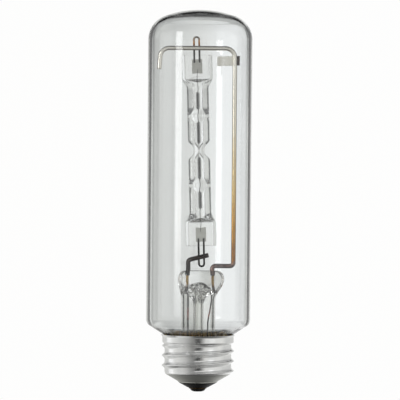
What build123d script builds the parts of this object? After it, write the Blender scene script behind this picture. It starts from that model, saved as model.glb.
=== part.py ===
from build123d import *
import os
from math import atan2, cos, degrees, pi, radians, sin, sqrt, tan

# Tubular halogen lamp: a clear outer bulb on a medium screw cap, with a quartz burner on a wire frame.
# Millimetres, +Z up along the lamp's axis, origin at the tip of the centre contact.
# +X is the side of the long frame wire, and -Y is the front.

# Screw cap
thread_crest_diameter = 26.3
thread_depth = 1.0
thread_pitch = 3.629
thread_turns = 3.0
thread_phase = 0.4
thread_fade = 1.4
shell_wall = 0.3
collar_step = 0.15
collar_height = 3.2
lip_height = 0.6
lip_reach = 0.5
cone_height = 3.2
cone_end_diameter = 14.0
insulator_height = 1.9
insulator_end_diameter = 7.4
insulator_top_gap = 0.4
contact_plate_diameter = 6.6
contact_plate_thickness = 0.4
contact_dome_diameter = 5.6
contact_dome_height = 1.1
contact_flat_diameter = 2.4
contact_plug_height = 1.0
eyelet_bore = 1.5
eyelet_wall = 0.35
eyelet_stand = 0.4
solder_diameter = 2.0
solder_height = 0.5
solder_hole = 0.8
solder_drop = 2.2
solder_angle = 100

# Outer bulb
bulb_diameter = 38.0
bulb_wall = 1.2
dome_corner_radius = 9.0
dome_crown_radius = 38.0
dome_clearance = 8.3
shoulder_angle = 57.5
shoulder_fillet = 2.85
neck_fillet = 2.0
neck_depth = 9.7
cement_thickness = 0.75
cement_gap = 0.05
cement_start = 1.0
seat_gap = 0.3

# Stem: a flared tube that is pressed flat at its top
stem_rise = 23.4
stem_tube_diameter = 12.4
stem_wall = 1.0
flare_radius = 3.0
press_width = 16.9
press_thickness = 6.8
press_top_width = 12.4
press_top_thickness = 4.8
press_length = 12.5
press_crown = 2.7
press_solid = 10.3
exhaust_diameter = 3.7
exhaust_wall = 0.75
exhaust_mouth_diameter = 5.4
exhaust_mouth_height = 1.8
exhaust_tip_gap = 0.6
vent_diameter = 2.6
vent_drop = 7.0

# Wires in and under the press
cross_lead_x = -3.8
frame_foot_x = 4.9
lead_embed = 2.0
seal_wire_diameter = 0.9
seal_wire_length = 6.0
outer_lead_diameter = 0.5
outer_lead_bend = 0.8
outer_lead_straight = 2.6
contact_lead_x = 3.5
contact_lead_slant = 8.0
lead_turn_gap = 0.9

# Wire frame
frame_wire_diameter = 1.65
frame_side_gap = 4.4
frame_tip_gap = 2.1
frame_tip_drop = 7.7
frame_tip_lean = 0.5
frame_bend = 3.4
foot_bend = 1.3
foot_rise = 1.7
crossbar_rise = 2.5
cross_lead_diameter = 1.65
cross_lead_bend = 1.2
cross_lead_straight = 0.8
cross_lead_drop = 4.0
cross_lead_tail = 2.6
cross_lead_slope = 14.0
weld_gap = 0.02

# Getter strip
strip_height = 3.5
strip_thickness = 0.25
strip_seal_gap = 0.65
strip_straight = 2.0
strip_sweep = 1.0
strip_curve = 4.0
strip_wrap = 0.6
strip_drop = 4.5

# Quartz burner, along its own axis from its middle
burner_diameter = 8.0
burner_bore = 4.8
burner_lean = 1.75
burner_shift = -0.2
crimp_spacing = 12.7
crimp_length = 5.4
crimp_waist = 6.0
crimp_slot = 0.9
end_chamber = 10.0
flare_length = 3.8
flare_width = 10.4
flare_thickness = 2.8
bore_end_width = 6.4
bore_end_slot = 0.5
seal_height = 8.2
seal_width = 11.2
seal_thickness = 2.4
seal_rib_width = 1.0
seal_rib_thickness = 3.4
foil_width = 3.8
foil_length = 4.8
foil_thickness = 0.06
foil_inset = 1.5
foil_overlap = 1.2
hairpin_diameter = 0.6
hairpin_spacing = 1.9
hairpin_flat = 0.002
upper_hairpin_reach = 7.0
lower_hairpin_reach = 7.85
hairpin_gap = 1.15
filament_wire = 0.22
coil_diameter = 0.86
coil_gap = 2.6
end_coil_length = 5.8

# Fineness of the smooth shapes, and how far a cutter reaches past what it cuts
thread_levels = 8
flattening_steps = 5
flare_steps = 4
crown_shares = (0.5, 0.2, 0)
cutter_reach = 2.0

# Heights that stack up from the contact's tip
insulator_z = contact_dome_height + contact_plate_thickness
cone_z = insulator_z + insulator_height
thread_z = cone_z + cone_height
collar_z = thread_z + thread_turns * thread_pitch
cap_top = collar_z + collar_height
insulator_top = thread_z - insulator_top_gap
eyelet_top = insulator_top + eyelet_stand
neck_bottom = cap_top - neck_depth
flare_bottom = neck_bottom - stem_wall
lead_turn_z = flare_bottom - lead_turn_gap
stem_top = cap_top + stem_rise
burner_half = crimp_spacing + end_chamber + flare_length + seal_height
burner_bottom = stem_top + hairpin_gap + lower_hairpin_reach
burner_z = burner_bottom + burner_half
burner_top = burner_z + burner_half
bulb_top = burner_top + upper_hairpin_reach + dome_clearance + bulb_wall

# Radii and offsets that follow from the sizes above
crest_radius = thread_crest_diameter / 2
root_radius = crest_radius - thread_depth
collar_radius = crest_radius - collar_step
cone_end_radius = cone_end_diameter / 2
cone_slope = cone_height / (root_radius - cone_end_radius)
root_inside = root_radius - shell_wall
collar_inside = collar_radius - shell_wall
eyelet_radius = eyelet_bore / 2 + eyelet_wall
bulb_radius = bulb_diameter / 2
neck_radius = root_inside - cement_thickness
stem_radius = stem_tube_diameter / 2
stem_bore = stem_radius - stem_wall
lead_radius = outer_lead_diameter / 2
frame_radius = frame_wire_diameter / 2
cross_radius = cross_lead_diameter / 2
hairpin_radius = hairpin_diameter / 2
foil_y = filament_wire / 2 + foil_thickness / 2
hairpin_y = foil_y - foil_thickness / 2 - hairpin_radius
frame_y = hairpin_y - hairpin_radius - frame_radius - weld_gap
cross_y = hairpin_y - hairpin_radius - cross_radius - weld_gap
frame_side_x = bulb_radius - bulb_wall - frame_side_gap - frame_radius
frame_tip_x = bulb_radius - bulb_wall - frame_tip_gap - frame_radius
crossbar_z = burner_top + crossbar_rise
seal_edge_x = burner_shift + seal_width / 2
burner_place = Pos(burner_shift, 0, burner_z) * Rot(0, -burner_lean, 0)


def turned(edges):
    """A solid turned about the lamp's axis from a closed outline of edges in (radius, height)."""
    return revolve(Plane.XZ * make_face(edges), axis=Axis.Z)


def turned_polygon(*corners):
    """A solid turned about the lamp's axis from the corners of its half section."""
    return turned(Polyline(*corners, close=True))


def bent_wire(points, diameter, bends):
    """A round wire along straight runs that are joined by arcs, one bend radius for each corner."""
    path = FilletPolyline(*points, radius=bends)
    start = Plane(origin=path @ 0, z_dir=path % 0)
    return sweep(start * Circle(diameter / 2), path=path)


def straight_wire(x, bottom, top, diameter):
    """An upright round wire in the plane of the press."""
    return Pos(x, 0, (bottom + top) / 2) * Cylinder(diameter / 2, top - bottom)


def smooth_step(share):
    """A share from 0 to 1 that starts and ends without a kink."""
    return share * share * (3 - 2 * share)


def oval(height, half_width, half_depth):
    """A level elliptical face, in two half arcs that always start on +X."""
    plane = Plane.XY.offset(height)
    halves = [(0, 180), (180, 360)]
    arcs = [Edge.make_ellipse(half_width, half_depth, plane, *half) for half in halves]
    return make_face(arcs)


def thread_ring(height, start, end, inset):
    """Level section of the thread: a circle off the axis, so that it reaches from the root to the crest and
    back once in a turn. It turns once per pitch, and fades to the plain root circle at both ends."""
    fade = smooth_step(min(1, (height - start) / thread_fade, (end - height) / thread_fade))
    offset = fade * thread_depth / 2
    turn = 2 * pi * (height - thread_phase) / thread_pitch
    centre = (offset * cos(turn), offset * sin(turn), height)
    return Wire.make_circle(root_radius + offset - inset, Plane(origin=centre, x_dir=(1, 0, 0)))


def cap_body(inset):
    """The cap as a full body, moved in by inset all over: cone, thread, collar and turned-out lip."""
    cone_shift = inset * sqrt(1 + cone_slope**2) / cone_slope
    core = root_radius - inset
    start = cone_z + cone_slope * (core - cone_end_radius + cone_shift)
    end = collar_z + inset
    cone = turned_polygon((0, cone_z), (cone_end_radius - cone_shift, cone_z), (core, start), (0, start))
    levels = round(thread_turns * thread_levels)
    heights = [start + (end - start) * step / levels for step in range(levels + 1)]
    rings = [thread_ring(height, start, end, inset) for height in heights]
    collar_line = collar_radius - inset
    collar = turned_polygon(
        (0, end),
        (collar_line, end),
        (collar_line, cap_top - lip_height),
        (collar_line + lip_reach, cap_top),
        (0, cap_top),
    )
    return cone + Solid.make_loft(rings) + collar


def side_place(radius):
    """The place on the back of the collar where the side lead comes out, at this radius."""
    return Rot(0, 0, solder_angle) * Pos(radius, 0, cap_top - solder_drop) * Rot(0, 90, 0)


def make_screw_shell():
    """Thin rolled shell: the cap's body less the same body one wall further in, with the lead's hole."""
    hole = side_place(collar_radius) * Cylinder(solder_hole / 2, 2 * shell_wall + cutter_reach)
    return cap_body(0) - cap_body(shell_wall) - hole


def make_side_solder():
    """A low solder cap on the collar, with its plug in the lead's hole."""
    ball = (solder_diameter**2 / 4 + solder_height**2) / (2 * solder_height)
    core_height = 2 * (collar_height + cutter_reach)
    cap = side_place(collar_radius + solder_height - ball) * Sphere(ball)
    cap -= Pos(0, 0, collar_z) * Cylinder(collar_radius, core_height)
    plug_length = shell_wall + solder_height / 2
    plug_middle = collar_inside + plug_length / 2
    plug = side_place(plug_middle) * Cylinder(solder_hole / 2, plug_length)
    bore = Pos(0, 0, collar_z) * Cylinder(collar_inside, core_height)
    return cap + (plug - bore) - make_shell_lead()


def make_insulator():
    """Black glass disc that fills the shell's cone and holds the eyelet."""
    cone_shift = shell_wall * sqrt(1 + cone_slope**2) / cone_slope
    cone_inside = cone_end_radius - cone_shift
    top_radius = cone_inside + (insulator_top - cone_z) / cone_slope
    return turned_polygon(
        (eyelet_radius, insulator_z),
        (insulator_end_diameter / 2, insulator_z),
        (cone_end_radius, cone_z),
        (cone_inside, cone_z),
        (top_radius, insulator_top),
        (eyelet_radius, insulator_top),
    )


def make_contact_plate():
    """Brass plate with the eyelet that stands up through the insulator."""
    bore = eyelet_bore / 2
    return turned_polygon(
        (bore, contact_dome_height),
        (contact_plate_diameter / 2, contact_dome_height),
        (contact_plate_diameter / 2, insulator_z),
        (eyelet_radius, insulator_z),
        (eyelet_radius, eyelet_top),
        (bore, eyelet_top),
    )


def make_contact_solder():
    """Solder dome with a small flat at its tip, and a plug around the lead in the eyelet."""
    flat = contact_flat_diameter / 2
    edge = contact_dome_diameter / 2
    bore = eyelet_bore / 2
    plug_top = contact_dome_height + contact_plug_height
    crown = TangentArc((flat, 0), (edge, contact_dome_height), tangent=(1, 0))
    rest = Polyline(
        (edge, contact_dome_height), (bore, contact_dome_height), (bore, plug_top),
        (0, plug_top), (0, 0), (flat, 0),
    )
    return turned([crown, rest]) - make_contact_lead()


def bulb_body(inset):
    """The bulb as a full body, with its surface moved in by inset: neck, cone shoulder, tube and dome."""
    rise = 1 / tan(radians(shoulder_angle))
    cone_shift = inset * sqrt(1 + rise**2) / rise
    seat_shift = seat_gap * sqrt(1 + rise**2) / rise
    seat_radius = collar_inside + lip_reach - seat_shift - cone_shift
    neck = neck_radius - inset
    tube = bulb_radius - inset
    neck_z = cap_top + rise * (neck - seat_radius)
    tube_z = cap_top + rise * (tube - seat_radius)
    corner_x = bulb_radius - dome_corner_radius
    crown_z = bulb_top - dome_crown_radius
    corner_z = crown_z + sqrt((dome_crown_radius - dome_corner_radius) ** 2 - corner_x**2)
    corner_turn = degrees(atan2(corner_z - crown_z, corner_x))
    side = FilletPolyline(
        (neck, neck_bottom), (neck, neck_z), (tube, tube_z), (tube, corner_z),
        radius=[neck_fillet + inset, shoulder_fillet - inset],
    )
    corner = CenterArc((corner_x, corner_z), dome_corner_radius - inset, 0, corner_turn)
    crown = CenterArc((0, crown_z), dome_crown_radius - inset, corner_turn, 90 - corner_turn)
    axis = Polyline((0, bulb_top - inset), (0, neck_bottom), (neck, neck_bottom))
    return turned([side, corner, crown, axis])


def make_basing_cement():
    """The ring between the neck and the shell, moulded to the glass and around the side lead."""
    ledge = collar_z + shell_wall + cement_gap
    ring = turned_polygon(
        (neck_radius - bulb_wall, neck_bottom + cement_start),
        (root_inside - cement_gap, neck_bottom + cement_start),
        (root_inside - cement_gap, ledge),
        (collar_inside - cement_gap, ledge),
        (collar_inside - cement_gap, cap_top - lip_height),
        (neck_radius - bulb_wall, cap_top - lip_height),
    )
    return ring - bulb_body(0) - make_shell_lead()


def press_half_sizes(drop):
    """Half width and half thickness of the stem at a drop below its top: the round tube flattens smoothly
    into the wide press, and above its widest level the press rounds off as a quarter ellipse."""
    share = min(1, (press_length - drop) / (press_length - press_crown))
    blend = smooth_step(share)
    rounding = 1 - sqrt(1 - max(0, 1 - drop / press_crown) ** 2)
    width = stem_radius + (press_width / 2 - stem_radius) * blend
    depth = stem_radius + (press_thickness / 2 - stem_radius) * blend
    width -= (press_width - press_top_width) / 2 * rounding
    depth -= (press_thickness - press_top_thickness) / 2 * rounding
    return width, depth


def make_stem():
    """Flare, tube and press in one glass piece, with the vent and the channels of the wires in it."""
    tube_top = stem_top - press_length
    bend_x = stem_radius + flare_radius
    bend_z = neck_bottom + flare_radius
    outside = CenterArc((bend_x, bend_z), flare_radius, 180, 90)
    inside = CenterArc((bend_x, bend_z), flare_radius + stem_wall, 180, 90)
    walls = [
        Line((stem_radius, tube_top), (stem_radius, bend_z)),
        Polyline((bend_x, neck_bottom), (neck_radius, neck_bottom),
                 (neck_radius, flare_bottom), (bend_x, flare_bottom)),
        Polyline((stem_bore, bend_z), (stem_bore, tube_top), (stem_radius, tube_top)),
    ]
    tube = turned([outside, inside, *walls])
    fall = (press_length - press_crown) / flattening_steps
    flattening = [press_length - fall * step for step in range(flattening_steps + 1)]
    rounding = [press_crown * share for share in crown_shares]
    sections = [oval(stem_top - drop, *press_half_sizes(drop)) for drop in flattening + rounding]
    mouth_width, mouth_depth = press_half_sizes(press_solid)
    cavity = loft([
        oval(tube_top, stem_bore, stem_bore),
        oval(stem_top - press_solid, mouth_width - stem_wall, mouth_depth - stem_wall),
    ])
    vent_z = stem_top - vent_drop
    vent_top = press_solid - vent_drop
    vent = Pos(0, 0, vent_z - vent_top / 2) * Cylinder(exhaust_diameter / 2 - exhaust_wall, vent_top)
    outlet = Pos(0, -press_width / 2, vent_z) * Rot(90, 0, 0) * Cylinder(vent_diameter / 2, press_width)
    stem = tube + loft(sections) - cavity - vent - outlet
    for wire in (make_frame_wire(), make_cross_lead(), make_seal_wire(frame_foot_x),
                 make_seal_wire(cross_lead_x), make_contact_lead(), make_shell_lead()):
        stem -= wire
    return stem


def make_exhaust_tube():
    """Thin tube with a funnel mouth on the press and a rounded, sealed tip below the flare."""
    outer = exhaust_diameter / 2
    inner = outer - exhaust_wall
    mouth = exhaust_mouth_diameter / 2
    top = stem_top - press_solid
    funnel = top - exhaust_mouth_height
    tip = eyelet_top + lead_turn_gap + lead_radius + exhaust_tip_gap
    outline = [
        CenterArc((0, tip + outer), outer, 270, 90),
        Line((outer, tip + outer), (outer, funnel)),
        TangentArc((outer, funnel), (mouth, top), tangent=(0, 1)),
        Polyline((mouth, top), (inner, top), (inner, tip + outer)),
        CenterArc((0, tip + outer), inner, 270, 90),
        Line((0, tip + outer - inner), (0, tip)),
    ]
    return turned(outline)


def make_seal_wire(x):
    """Copper-clad wire in the glass of the press, under one of the two thick leads."""
    top = stem_top - lead_embed
    return straight_wire(x, top - seal_wire_length, top, seal_wire_diameter)


def make_contact_lead():
    """Thin wire from the frame's seal wire down the stem and through the eyelet to the contact's solder."""
    top = stem_top - lead_embed - seal_wire_length
    slant = top - outer_lead_straight
    points = [
        (frame_foot_x, 0, top),
        (frame_foot_x, 0, slant),
        (contact_lead_x, 0, slant - contact_lead_slant),
        (contact_lead_x, 0, lead_turn_z),
        (0, 0, eyelet_top + lead_turn_gap),
        (0, 0, contact_dome_height / 2),
    ]
    return bent_wire(points, outer_lead_diameter, outer_lead_bend)


def make_shell_lead():
    """Thin wire from the cross lead's seal wire down the stem, under the neck and up to the collar."""
    side = (neck_radius + root_inside) / 2
    across, back = cos(radians(solder_angle)), sin(radians(solder_angle))
    tip = collar_radius + solder_height / 2
    points = [
        (cross_lead_x, 0, stem_top - lead_embed - seal_wire_length),
        (cross_lead_x, 0, lead_turn_z),
        (side * across, side * back, lead_turn_z),
        (side * across, side * back, cap_top - solder_drop),
        (tip * across, tip * back, cap_top - solder_drop),
    ]
    return bent_wire(points, outer_lead_diameter, outer_lead_bend)


def make_frame_wire():
    """Thick wire from the press to the side, up past the burner, across its top and down at the left."""
    foot_z = stem_top + foot_rise
    points = [
        (frame_foot_x, 0, stem_top - lead_embed),
        (frame_foot_x, 0, foot_z),
        (frame_side_x, frame_y, foot_z),
        (frame_side_x, frame_y, crossbar_z),
        (-frame_tip_x + frame_tip_lean, frame_y, crossbar_z),
        (-frame_tip_x, frame_y, crossbar_z - frame_tip_drop),
    ]
    return bent_wire(points, frame_wire_diameter, [foot_bend, foot_bend, frame_bend, frame_bend])


def make_cross_lead():
    """Short thick wire from the press that leans forward and slants past the lower hairpin's front."""
    slope = tan(radians(cross_lead_slope))
    crossing_x = burner_shift + (burner_half + cross_lead_drop) * sin(radians(burner_lean))
    crossing_z = burner_bottom - cross_lead_drop
    points = [
        (cross_lead_x, 0, stem_top - lead_embed),
        (cross_lead_x, 0, stem_top + cross_lead_straight),
        (cross_lead_x, cross_y, crossing_z - slope * (crossing_x - cross_lead_x)),
        (crossing_x + cross_lead_tail, cross_y, crossing_z + slope * cross_lead_tail),
    ]
    return bent_wire(points, cross_lead_diameter, cross_lead_bend)


def make_getter_strip():
    """Flat strip that hooks round the outer side of the frame wire and curves inwards behind it."""
    reach = frame_radius + weld_gap + strip_thickness / 2
    path = FilletPolyline(
        (frame_side_x + reach, frame_y - strip_wrap),
        (frame_side_x + reach, frame_y + reach),
        (frame_side_x - strip_straight, frame_y + reach),
        (seal_edge_x + strip_seal_gap, frame_y + reach + strip_sweep),
        radius=[reach, strip_curve],
    )
    bottom = crossbar_z - strip_drop - strip_height / 2
    return Pos(0, 0, bottom) * extrude(trace(path, strip_thickness), strip_height)


def crimped_rod(diameter, waist):
    """A round rod with the three crimps in it: each is pressed in by two round bars, down to this waist.
    The middle crimp is pressed from side to side and the outer two from front to back."""
    rod = Cylinder(diameter / 2, 2 * (crimp_spacing + end_chamber))
    depth = (diameter - waist) / 2
    bar_radius = (crimp_length**2 / 4 + depth**2) / (2 * depth)
    for height, turn in ((0, 90), (crimp_spacing, 0), (-crimp_spacing, 0)):
        for side in (-1, 1):
            bar = Rot(0, 90, 0) * Cylinder(bar_radius, diameter + cutter_reach)
            bar = Pos(0, side * (waist / 2 + bar_radius), 0) * bar
            rod -= Pos(0, 0, height) * Rot(0, 0, turn) * bar
    return rod


def flared_ends(diameter, width, depth):
    """The two ends of the burner, where its round section flattens smoothly to this width and depth."""
    sections = []
    for step in range(flare_steps + 1):
        share = step / flare_steps
        blend = smooth_step(share)
        level = crimp_spacing + end_chamber + flare_length * share
        sections.append(oval(level, (diameter + (width - diameter) * blend) / 2,
                             (diameter + (depth - diameter) * blend) / 2))
    end = loft(sections)
    return end + mirror(end, Plane.XY)


def hairpin(end, reach):
    """A wire from the foil, out of the seal at one end (+1 or -1), round its loop and back to the foil."""
    inner = end * (burner_half - foil_inset - foil_overlap)
    outer = end * (burner_half + reach - hairpin_radius)
    leg = hairpin_spacing / 2
    points = [
        (-leg, hairpin_y, inner),
        (-leg, hairpin_y, outer),
        (leg, hairpin_y, outer),
        (leg, hairpin_y, inner),
    ]
    return burner_place * bent_wire(points, hairpin_diameter, leg - hairpin_flat / 2)


def foil(end):
    """The thin foil in the seal at one end (+1 or -1), behind the wires that are welded to it."""
    middle = end * (burner_half - foil_inset - foil_length / 2)
    return burner_place * Pos(0, foil_y, middle) * Box(foil_width, foil_thickness, foil_length)


def make_filament():
    """Four coiled stretches as plain rods on one fine wire that runs from foil to foil."""
    tail = burner_half - foil_inset - foil_length + foil_overlap
    filament = Cylinder(filament_wire / 2, 2 * tail)
    inner_length = crimp_spacing - 2 * coil_gap
    inner_middle = crimp_spacing / 2
    end_middle = crimp_spacing + coil_gap + end_coil_length / 2
    for middle, length in ((inner_middle, inner_length), (end_middle, end_coil_length)):
        for side in (-1, 1):
            filament += Pos(0, 0, side * middle) * Cylinder(coil_diameter / 2, length)
    return burner_place * filament


def make_burner_envelope():
    """Quartz tube with its crimps, flared ends and ribbed seals, less its bore and what is sealed in."""
    outside = crimped_rod(burner_diameter, crimp_waist)
    outside += flared_ends(burner_diameter, flare_width, flare_thickness)
    bore = crimped_rod(burner_bore, crimp_slot) + flared_ends(burner_bore, bore_end_width, bore_end_slot)
    envelope = outside - bore
    rib_x = (seal_width - seal_rib_width) / 2
    for end in (-1, 1):
        middle = end * (burner_half - seal_height / 2)
        seal = Box(seal_width, seal_thickness, seal_height)
        for side in (-1, 1):
            seal += Pos(side * rib_x, 0, 0) * Box(seal_rib_width, seal_rib_thickness, seal_height)
        envelope += Pos(0, 0, middle) * seal
    envelope = burner_place * envelope
    for inner in (foil(1), foil(-1), hairpin(1, upper_hairpin_reach),
                  hairpin(-1, lower_hairpin_reach), make_filament()):
        envelope -= inner
    return envelope


pieces = {
    "outer_bulb": bulb_body(0) - bulb_body(bulb_wall),
    "screw_shell": make_screw_shell(),
    "insulator": make_insulator(),
    "contact_plate": make_contact_plate(),
    "contact_solder": make_contact_solder(),
    "basing_cement": make_basing_cement(),
    "side_solder": make_side_solder(),
    "stem": make_stem(),
    "exhaust_tube": make_exhaust_tube(),
    "frame_seal_wire": make_seal_wire(frame_foot_x),
    "cross_seal_wire": make_seal_wire(cross_lead_x),
    "contact_lead": make_contact_lead(),
    "shell_lead": make_shell_lead(),
    "frame_wire": make_frame_wire(),
    "cross_lead": make_cross_lead(),
    "getter_strip": make_getter_strip(),
    "burner_envelope": make_burner_envelope(),
    "upper_hairpin": hairpin(1, upper_hairpin_reach),
    "lower_hairpin": hairpin(-1, lower_hairpin_reach),
    "upper_foil": foil(1),
    "lower_foil": foil(-1),
    "filament": make_filament(),
}

os.makedirs("parts", exist_ok=True)
for name, shape in pieces.items():
    export_step(shape, f"parts/{name}.step")
print(f"{len(pieces)} pieces, {bulb_top:.1f} mm long, cap {cap_top:.1f} mm")
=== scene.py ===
# %% [markdown]
# A clear tubular halogen lamp
#
# A lamp like this is mostly glass: a blown outer tube, a pressed stem, and a small quartz burner that
# hangs on bent wire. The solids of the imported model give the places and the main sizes. This script
# dresses them with smooth surfaces worked out in numpy, gives each a finish, and lights them as a picture
# on white.

# %% The frame
import math

import bpy
import numpy as np
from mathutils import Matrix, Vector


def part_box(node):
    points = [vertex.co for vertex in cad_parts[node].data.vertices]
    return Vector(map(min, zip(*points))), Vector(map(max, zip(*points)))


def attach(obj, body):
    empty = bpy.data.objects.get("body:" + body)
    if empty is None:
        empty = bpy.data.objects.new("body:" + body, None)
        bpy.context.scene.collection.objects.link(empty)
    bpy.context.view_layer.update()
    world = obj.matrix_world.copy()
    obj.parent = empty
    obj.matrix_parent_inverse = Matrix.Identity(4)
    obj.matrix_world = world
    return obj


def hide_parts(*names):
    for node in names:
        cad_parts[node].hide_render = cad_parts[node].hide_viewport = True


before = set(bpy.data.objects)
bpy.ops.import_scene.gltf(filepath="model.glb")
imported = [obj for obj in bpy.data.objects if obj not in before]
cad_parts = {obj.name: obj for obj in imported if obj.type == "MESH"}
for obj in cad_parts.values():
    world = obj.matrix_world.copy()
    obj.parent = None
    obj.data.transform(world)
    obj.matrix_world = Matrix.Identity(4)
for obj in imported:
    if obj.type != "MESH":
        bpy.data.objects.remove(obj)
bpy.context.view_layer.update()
MM = 0.001

# %% [markdown]
# Reading sizes from the frame
#
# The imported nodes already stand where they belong, so levels such as the top of the cap or the tip of the
# bulb are read from their boxes. What a box can't tell, such as a wall or a bend, is a named value in
# millimetres near the piece that needs it.

# %% Levels and half widths


def node_low(name):
    """Lowest corner of a CAD node, in millimetres."""
    return np.array(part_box(name)[0]) / MM


def node_high(name):
    """Highest corner of a CAD node, in millimetres."""
    return np.array(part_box(name)[1]) / MM


CAP_BOTTOM = node_low("screw_shell")[2]
CAP_TOP = node_high("screw_shell")[2]
BULB_BOTTOM = node_low("outer_bulb")[2]
BULB_TOP = node_high("outer_bulb")[2]
BULB_RADIUS = node_high("outer_bulb")[0]
STEM_BOTTOM = node_low("stem")[2]
STEM_TOP = node_high("stem")[2]
print(f"cap to {CAP_TOP:.1f} mm, stem to {STEM_TOP:.1f} mm, bulb to {BULB_TOP:.1f} mm")

# %% [markdown]
# Lines, rings and skins
#
# Nearly every piece here is either turned, like glass on a lathe, or drawn, like wire. Both are a grid of
# points: rings along a line. Blender's Screw modifier or a bevelled curve could make them too, but a grid
# keeps every wall, bulge and dent in one formula, and it closes cleanly at its ends.

# %% Lines
ARC_STEP = math.radians(7.5)


def rounded_line(corners, radii, step=0.5):
    """A line through corner points with each inner corner rounded by an arc. For a turn of angle t the arc
    of radius R starts R * tan(t / 2) before the corner. Its centre is on the bisector, R / cos(t / 2) from
    the corner."""
    corners = [np.array(corner, float) for corner in corners]
    spots = [corners[0]]
    for before, corner, after, radius in zip(corners, corners[1:], corners[2:], radii):
        inward = (corner - before) / np.linalg.norm(corner - before)
        outward = (after - corner) / np.linalg.norm(after - corner)
        turn = math.acos(np.clip(inward @ outward, -1, 1))
        bisector = (outward - inward) / np.linalg.norm(outward - inward)
        centre = corner + bisector * radius / math.cos(turn / 2)
        start = corner - inward * radius * math.tan(turn / 2)
        angles = np.linspace(0, turn, max(3, math.ceil(turn / ARC_STEP) + 1))[:, None]
        arc = centre + np.cos(angles) * (start - centre) + np.sin(angles) * inward * radius
        spots.extend(arc)
    spots.append(corners[-1])
    runs = []
    for first, second in zip(spots, spots[1:]):
        pieces = max(1, math.ceil(np.linalg.norm(second - first) / step))
        runs.append(first + (second - first) * np.linspace(0, 1, pieces, endpoint=False)[:, None])
    return np.vstack([*runs, spots[-1]])


def along(path):
    """Distance from a line's start to each of its points."""
    return np.concatenate([[0], np.cumsum(np.linalg.norm(np.diff(path, axis=0), axis=1))])


def smooth_step(low, high, value):
    """0 below low, 1 above high, and 3 s^2 - 2 s^3 of the share s between them."""
    share = np.clip((value - low) / (high - low), 0, 1)
    return share * share * (3 - 2 * share)


bend = rounded_line([(0, 0), (5, 0), (5, 5)], [2.0])
print(f"a square corner of 5 mm sides, rounded by 2 mm, is {along(bend)[-1]:.2f} mm long")

# %% Rings


def full_turn(sides):
    """Angles of a ring's points, evenly spaced."""
    return np.linspace(0, 2 * np.pi, sides, endpoint=False)


def turned_rings(profile, sides=192):
    """Rings about the lamp's axis: a profile of (radius, height) gives (r cos a, r sin a, z)."""
    angle = full_turn(sides)
    radius, height = profile[:, :1], profile[:, 1:]
    return np.stack([radius * np.cos(angle), radius * np.sin(angle), height + 0 * angle], axis=-1)


def wire_rings(path, radius, sides, front=(0, 1, 0)):
    """Rings of a round wire: path + radius * (cos a * n + sin a * b), where n is the front direction made
    square to the path's tangent t, and b = t x n. The front may be given for each point."""
    tangent = np.gradient(path, axis=0)
    tangent /= np.linalg.norm(tangent, axis=1, keepdims=True)
    front = np.broadcast_to(np.asarray(front, float), path.shape)
    normal = front - tangent * np.sum(tangent * front, axis=1, keepdims=True)
    normal /= np.linalg.norm(normal, axis=1, keepdims=True)
    across = np.cross(tangent, normal)
    angle = full_turn(sides)[None, :, None]
    size = np.broadcast_to(np.asarray(radius, float), len(path))[:, None, None]
    return path[:, None] + size * (np.cos(angle) * normal[:, None] + np.sin(angle) * across[:, None])


print("that line, turned about the axis, is a grid of", turned_rings(bend).shape)

# %% Skins and pieces


def skin(rings, loop=False, cavity=False):
    """A closed skin over a grid of rings. With loop the last ring joins the first, else a fan of triangles
    closes each end at its middle. The signed volume, a sum of a . (b x c) over triangles, says which way the
    faces look: outwards for a body, inwards for a cavity."""
    count, sides = rings.shape[:2]
    points = np.vstack([rings.reshape(-1, 3), rings[0].mean(axis=0), rings[-1].mean(axis=0)])
    index = np.arange(count * sides).reshape(count, sides)
    lower, upper = (index, np.roll(index, -1, axis=0)) if loop else (index[:-1], index[1:])
    quads = np.stack([lower, np.roll(lower, -1, 1), np.roll(upper, -1, 1), upper], axis=-1).reshape(-1, 4)
    first = np.stack([np.roll(index[0], -1), index[0], np.full(sides, count * sides)], axis=-1)
    last = np.stack([index[-1], np.roll(index[-1], -1), np.full(sides, count * sides + 1)], axis=-1)
    fans = np.empty((0, 3), int) if loop else np.vstack([first, last])
    triangles = np.vstack([quads[:, [0, 1, 2]], quads[:, [0, 2, 3]], fans])
    a, b, c = (points[triangles[:, corner]] for corner in range(3))
    if (np.einsum("ij,ij->", a, np.cross(b, c)) < 0) != cavity:
        quads, fans = quads[:, ::-1], fans[:, ::-1]
    return (points[:-2] if loop else points), quads, fans


def add_piece(name, skins, finish, nodes=(), crease=40, lining=None):
    """One object from closed skins, in metres at the origin, smooth up to the crease angle in degrees. It
    rides on the lamp, takes its slot's finish and stands for the CAD nodes that it replaces. A lining is a
    second finish, for the skins after the first."""
    points, faces, shift = [], [], 0
    for spots, quads, fans in skins:
        points.append(spots)
        faces += (quads + shift).tolist() + (fans + shift).tolist()
        shift += len(spots)
    mesh = bpy.data.meshes.new(name)
    mesh.from_pydata(np.vstack(points) * MM, [], faces)
    mesh.shade_smooth()
    mesh.set_sharp_from_angle(angle=math.radians(crease))
    mesh.materials.append(finish)
    if lining:
        outside = len(skins[0][1]) + len(skins[0][2])
        mesh.materials.append(lining)
        mesh.polygons.foreach_set("material_index", (np.arange(len(faces)) >= outside).astype(np.int32))
    piece = bpy.data.objects.new(name, mesh)
    bpy.context.collection.objects.link(piece)
    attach(piece, "root")
    if nodes:
        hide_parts(*nodes)
    print(f"{name}: {len(mesh.vertices)} points, {len(mesh.polygons)} faces")


print("the skin over that grid has", len(skin(turned_rings(bend))[1]), "quads")

# %% [markdown]
# How the finishes are written
#
# A finish is a Principled shader fed by a few procedural patterns. Colours are picked as sRGB hex values,
# as a colour picker shows them, and turned to linear light for the shader. One small function adds any
# node, so a finish reads as a list of what feeds what. Patterns read Object coordinates, which are metres
# here.

# %% Helpers for finishes


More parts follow.
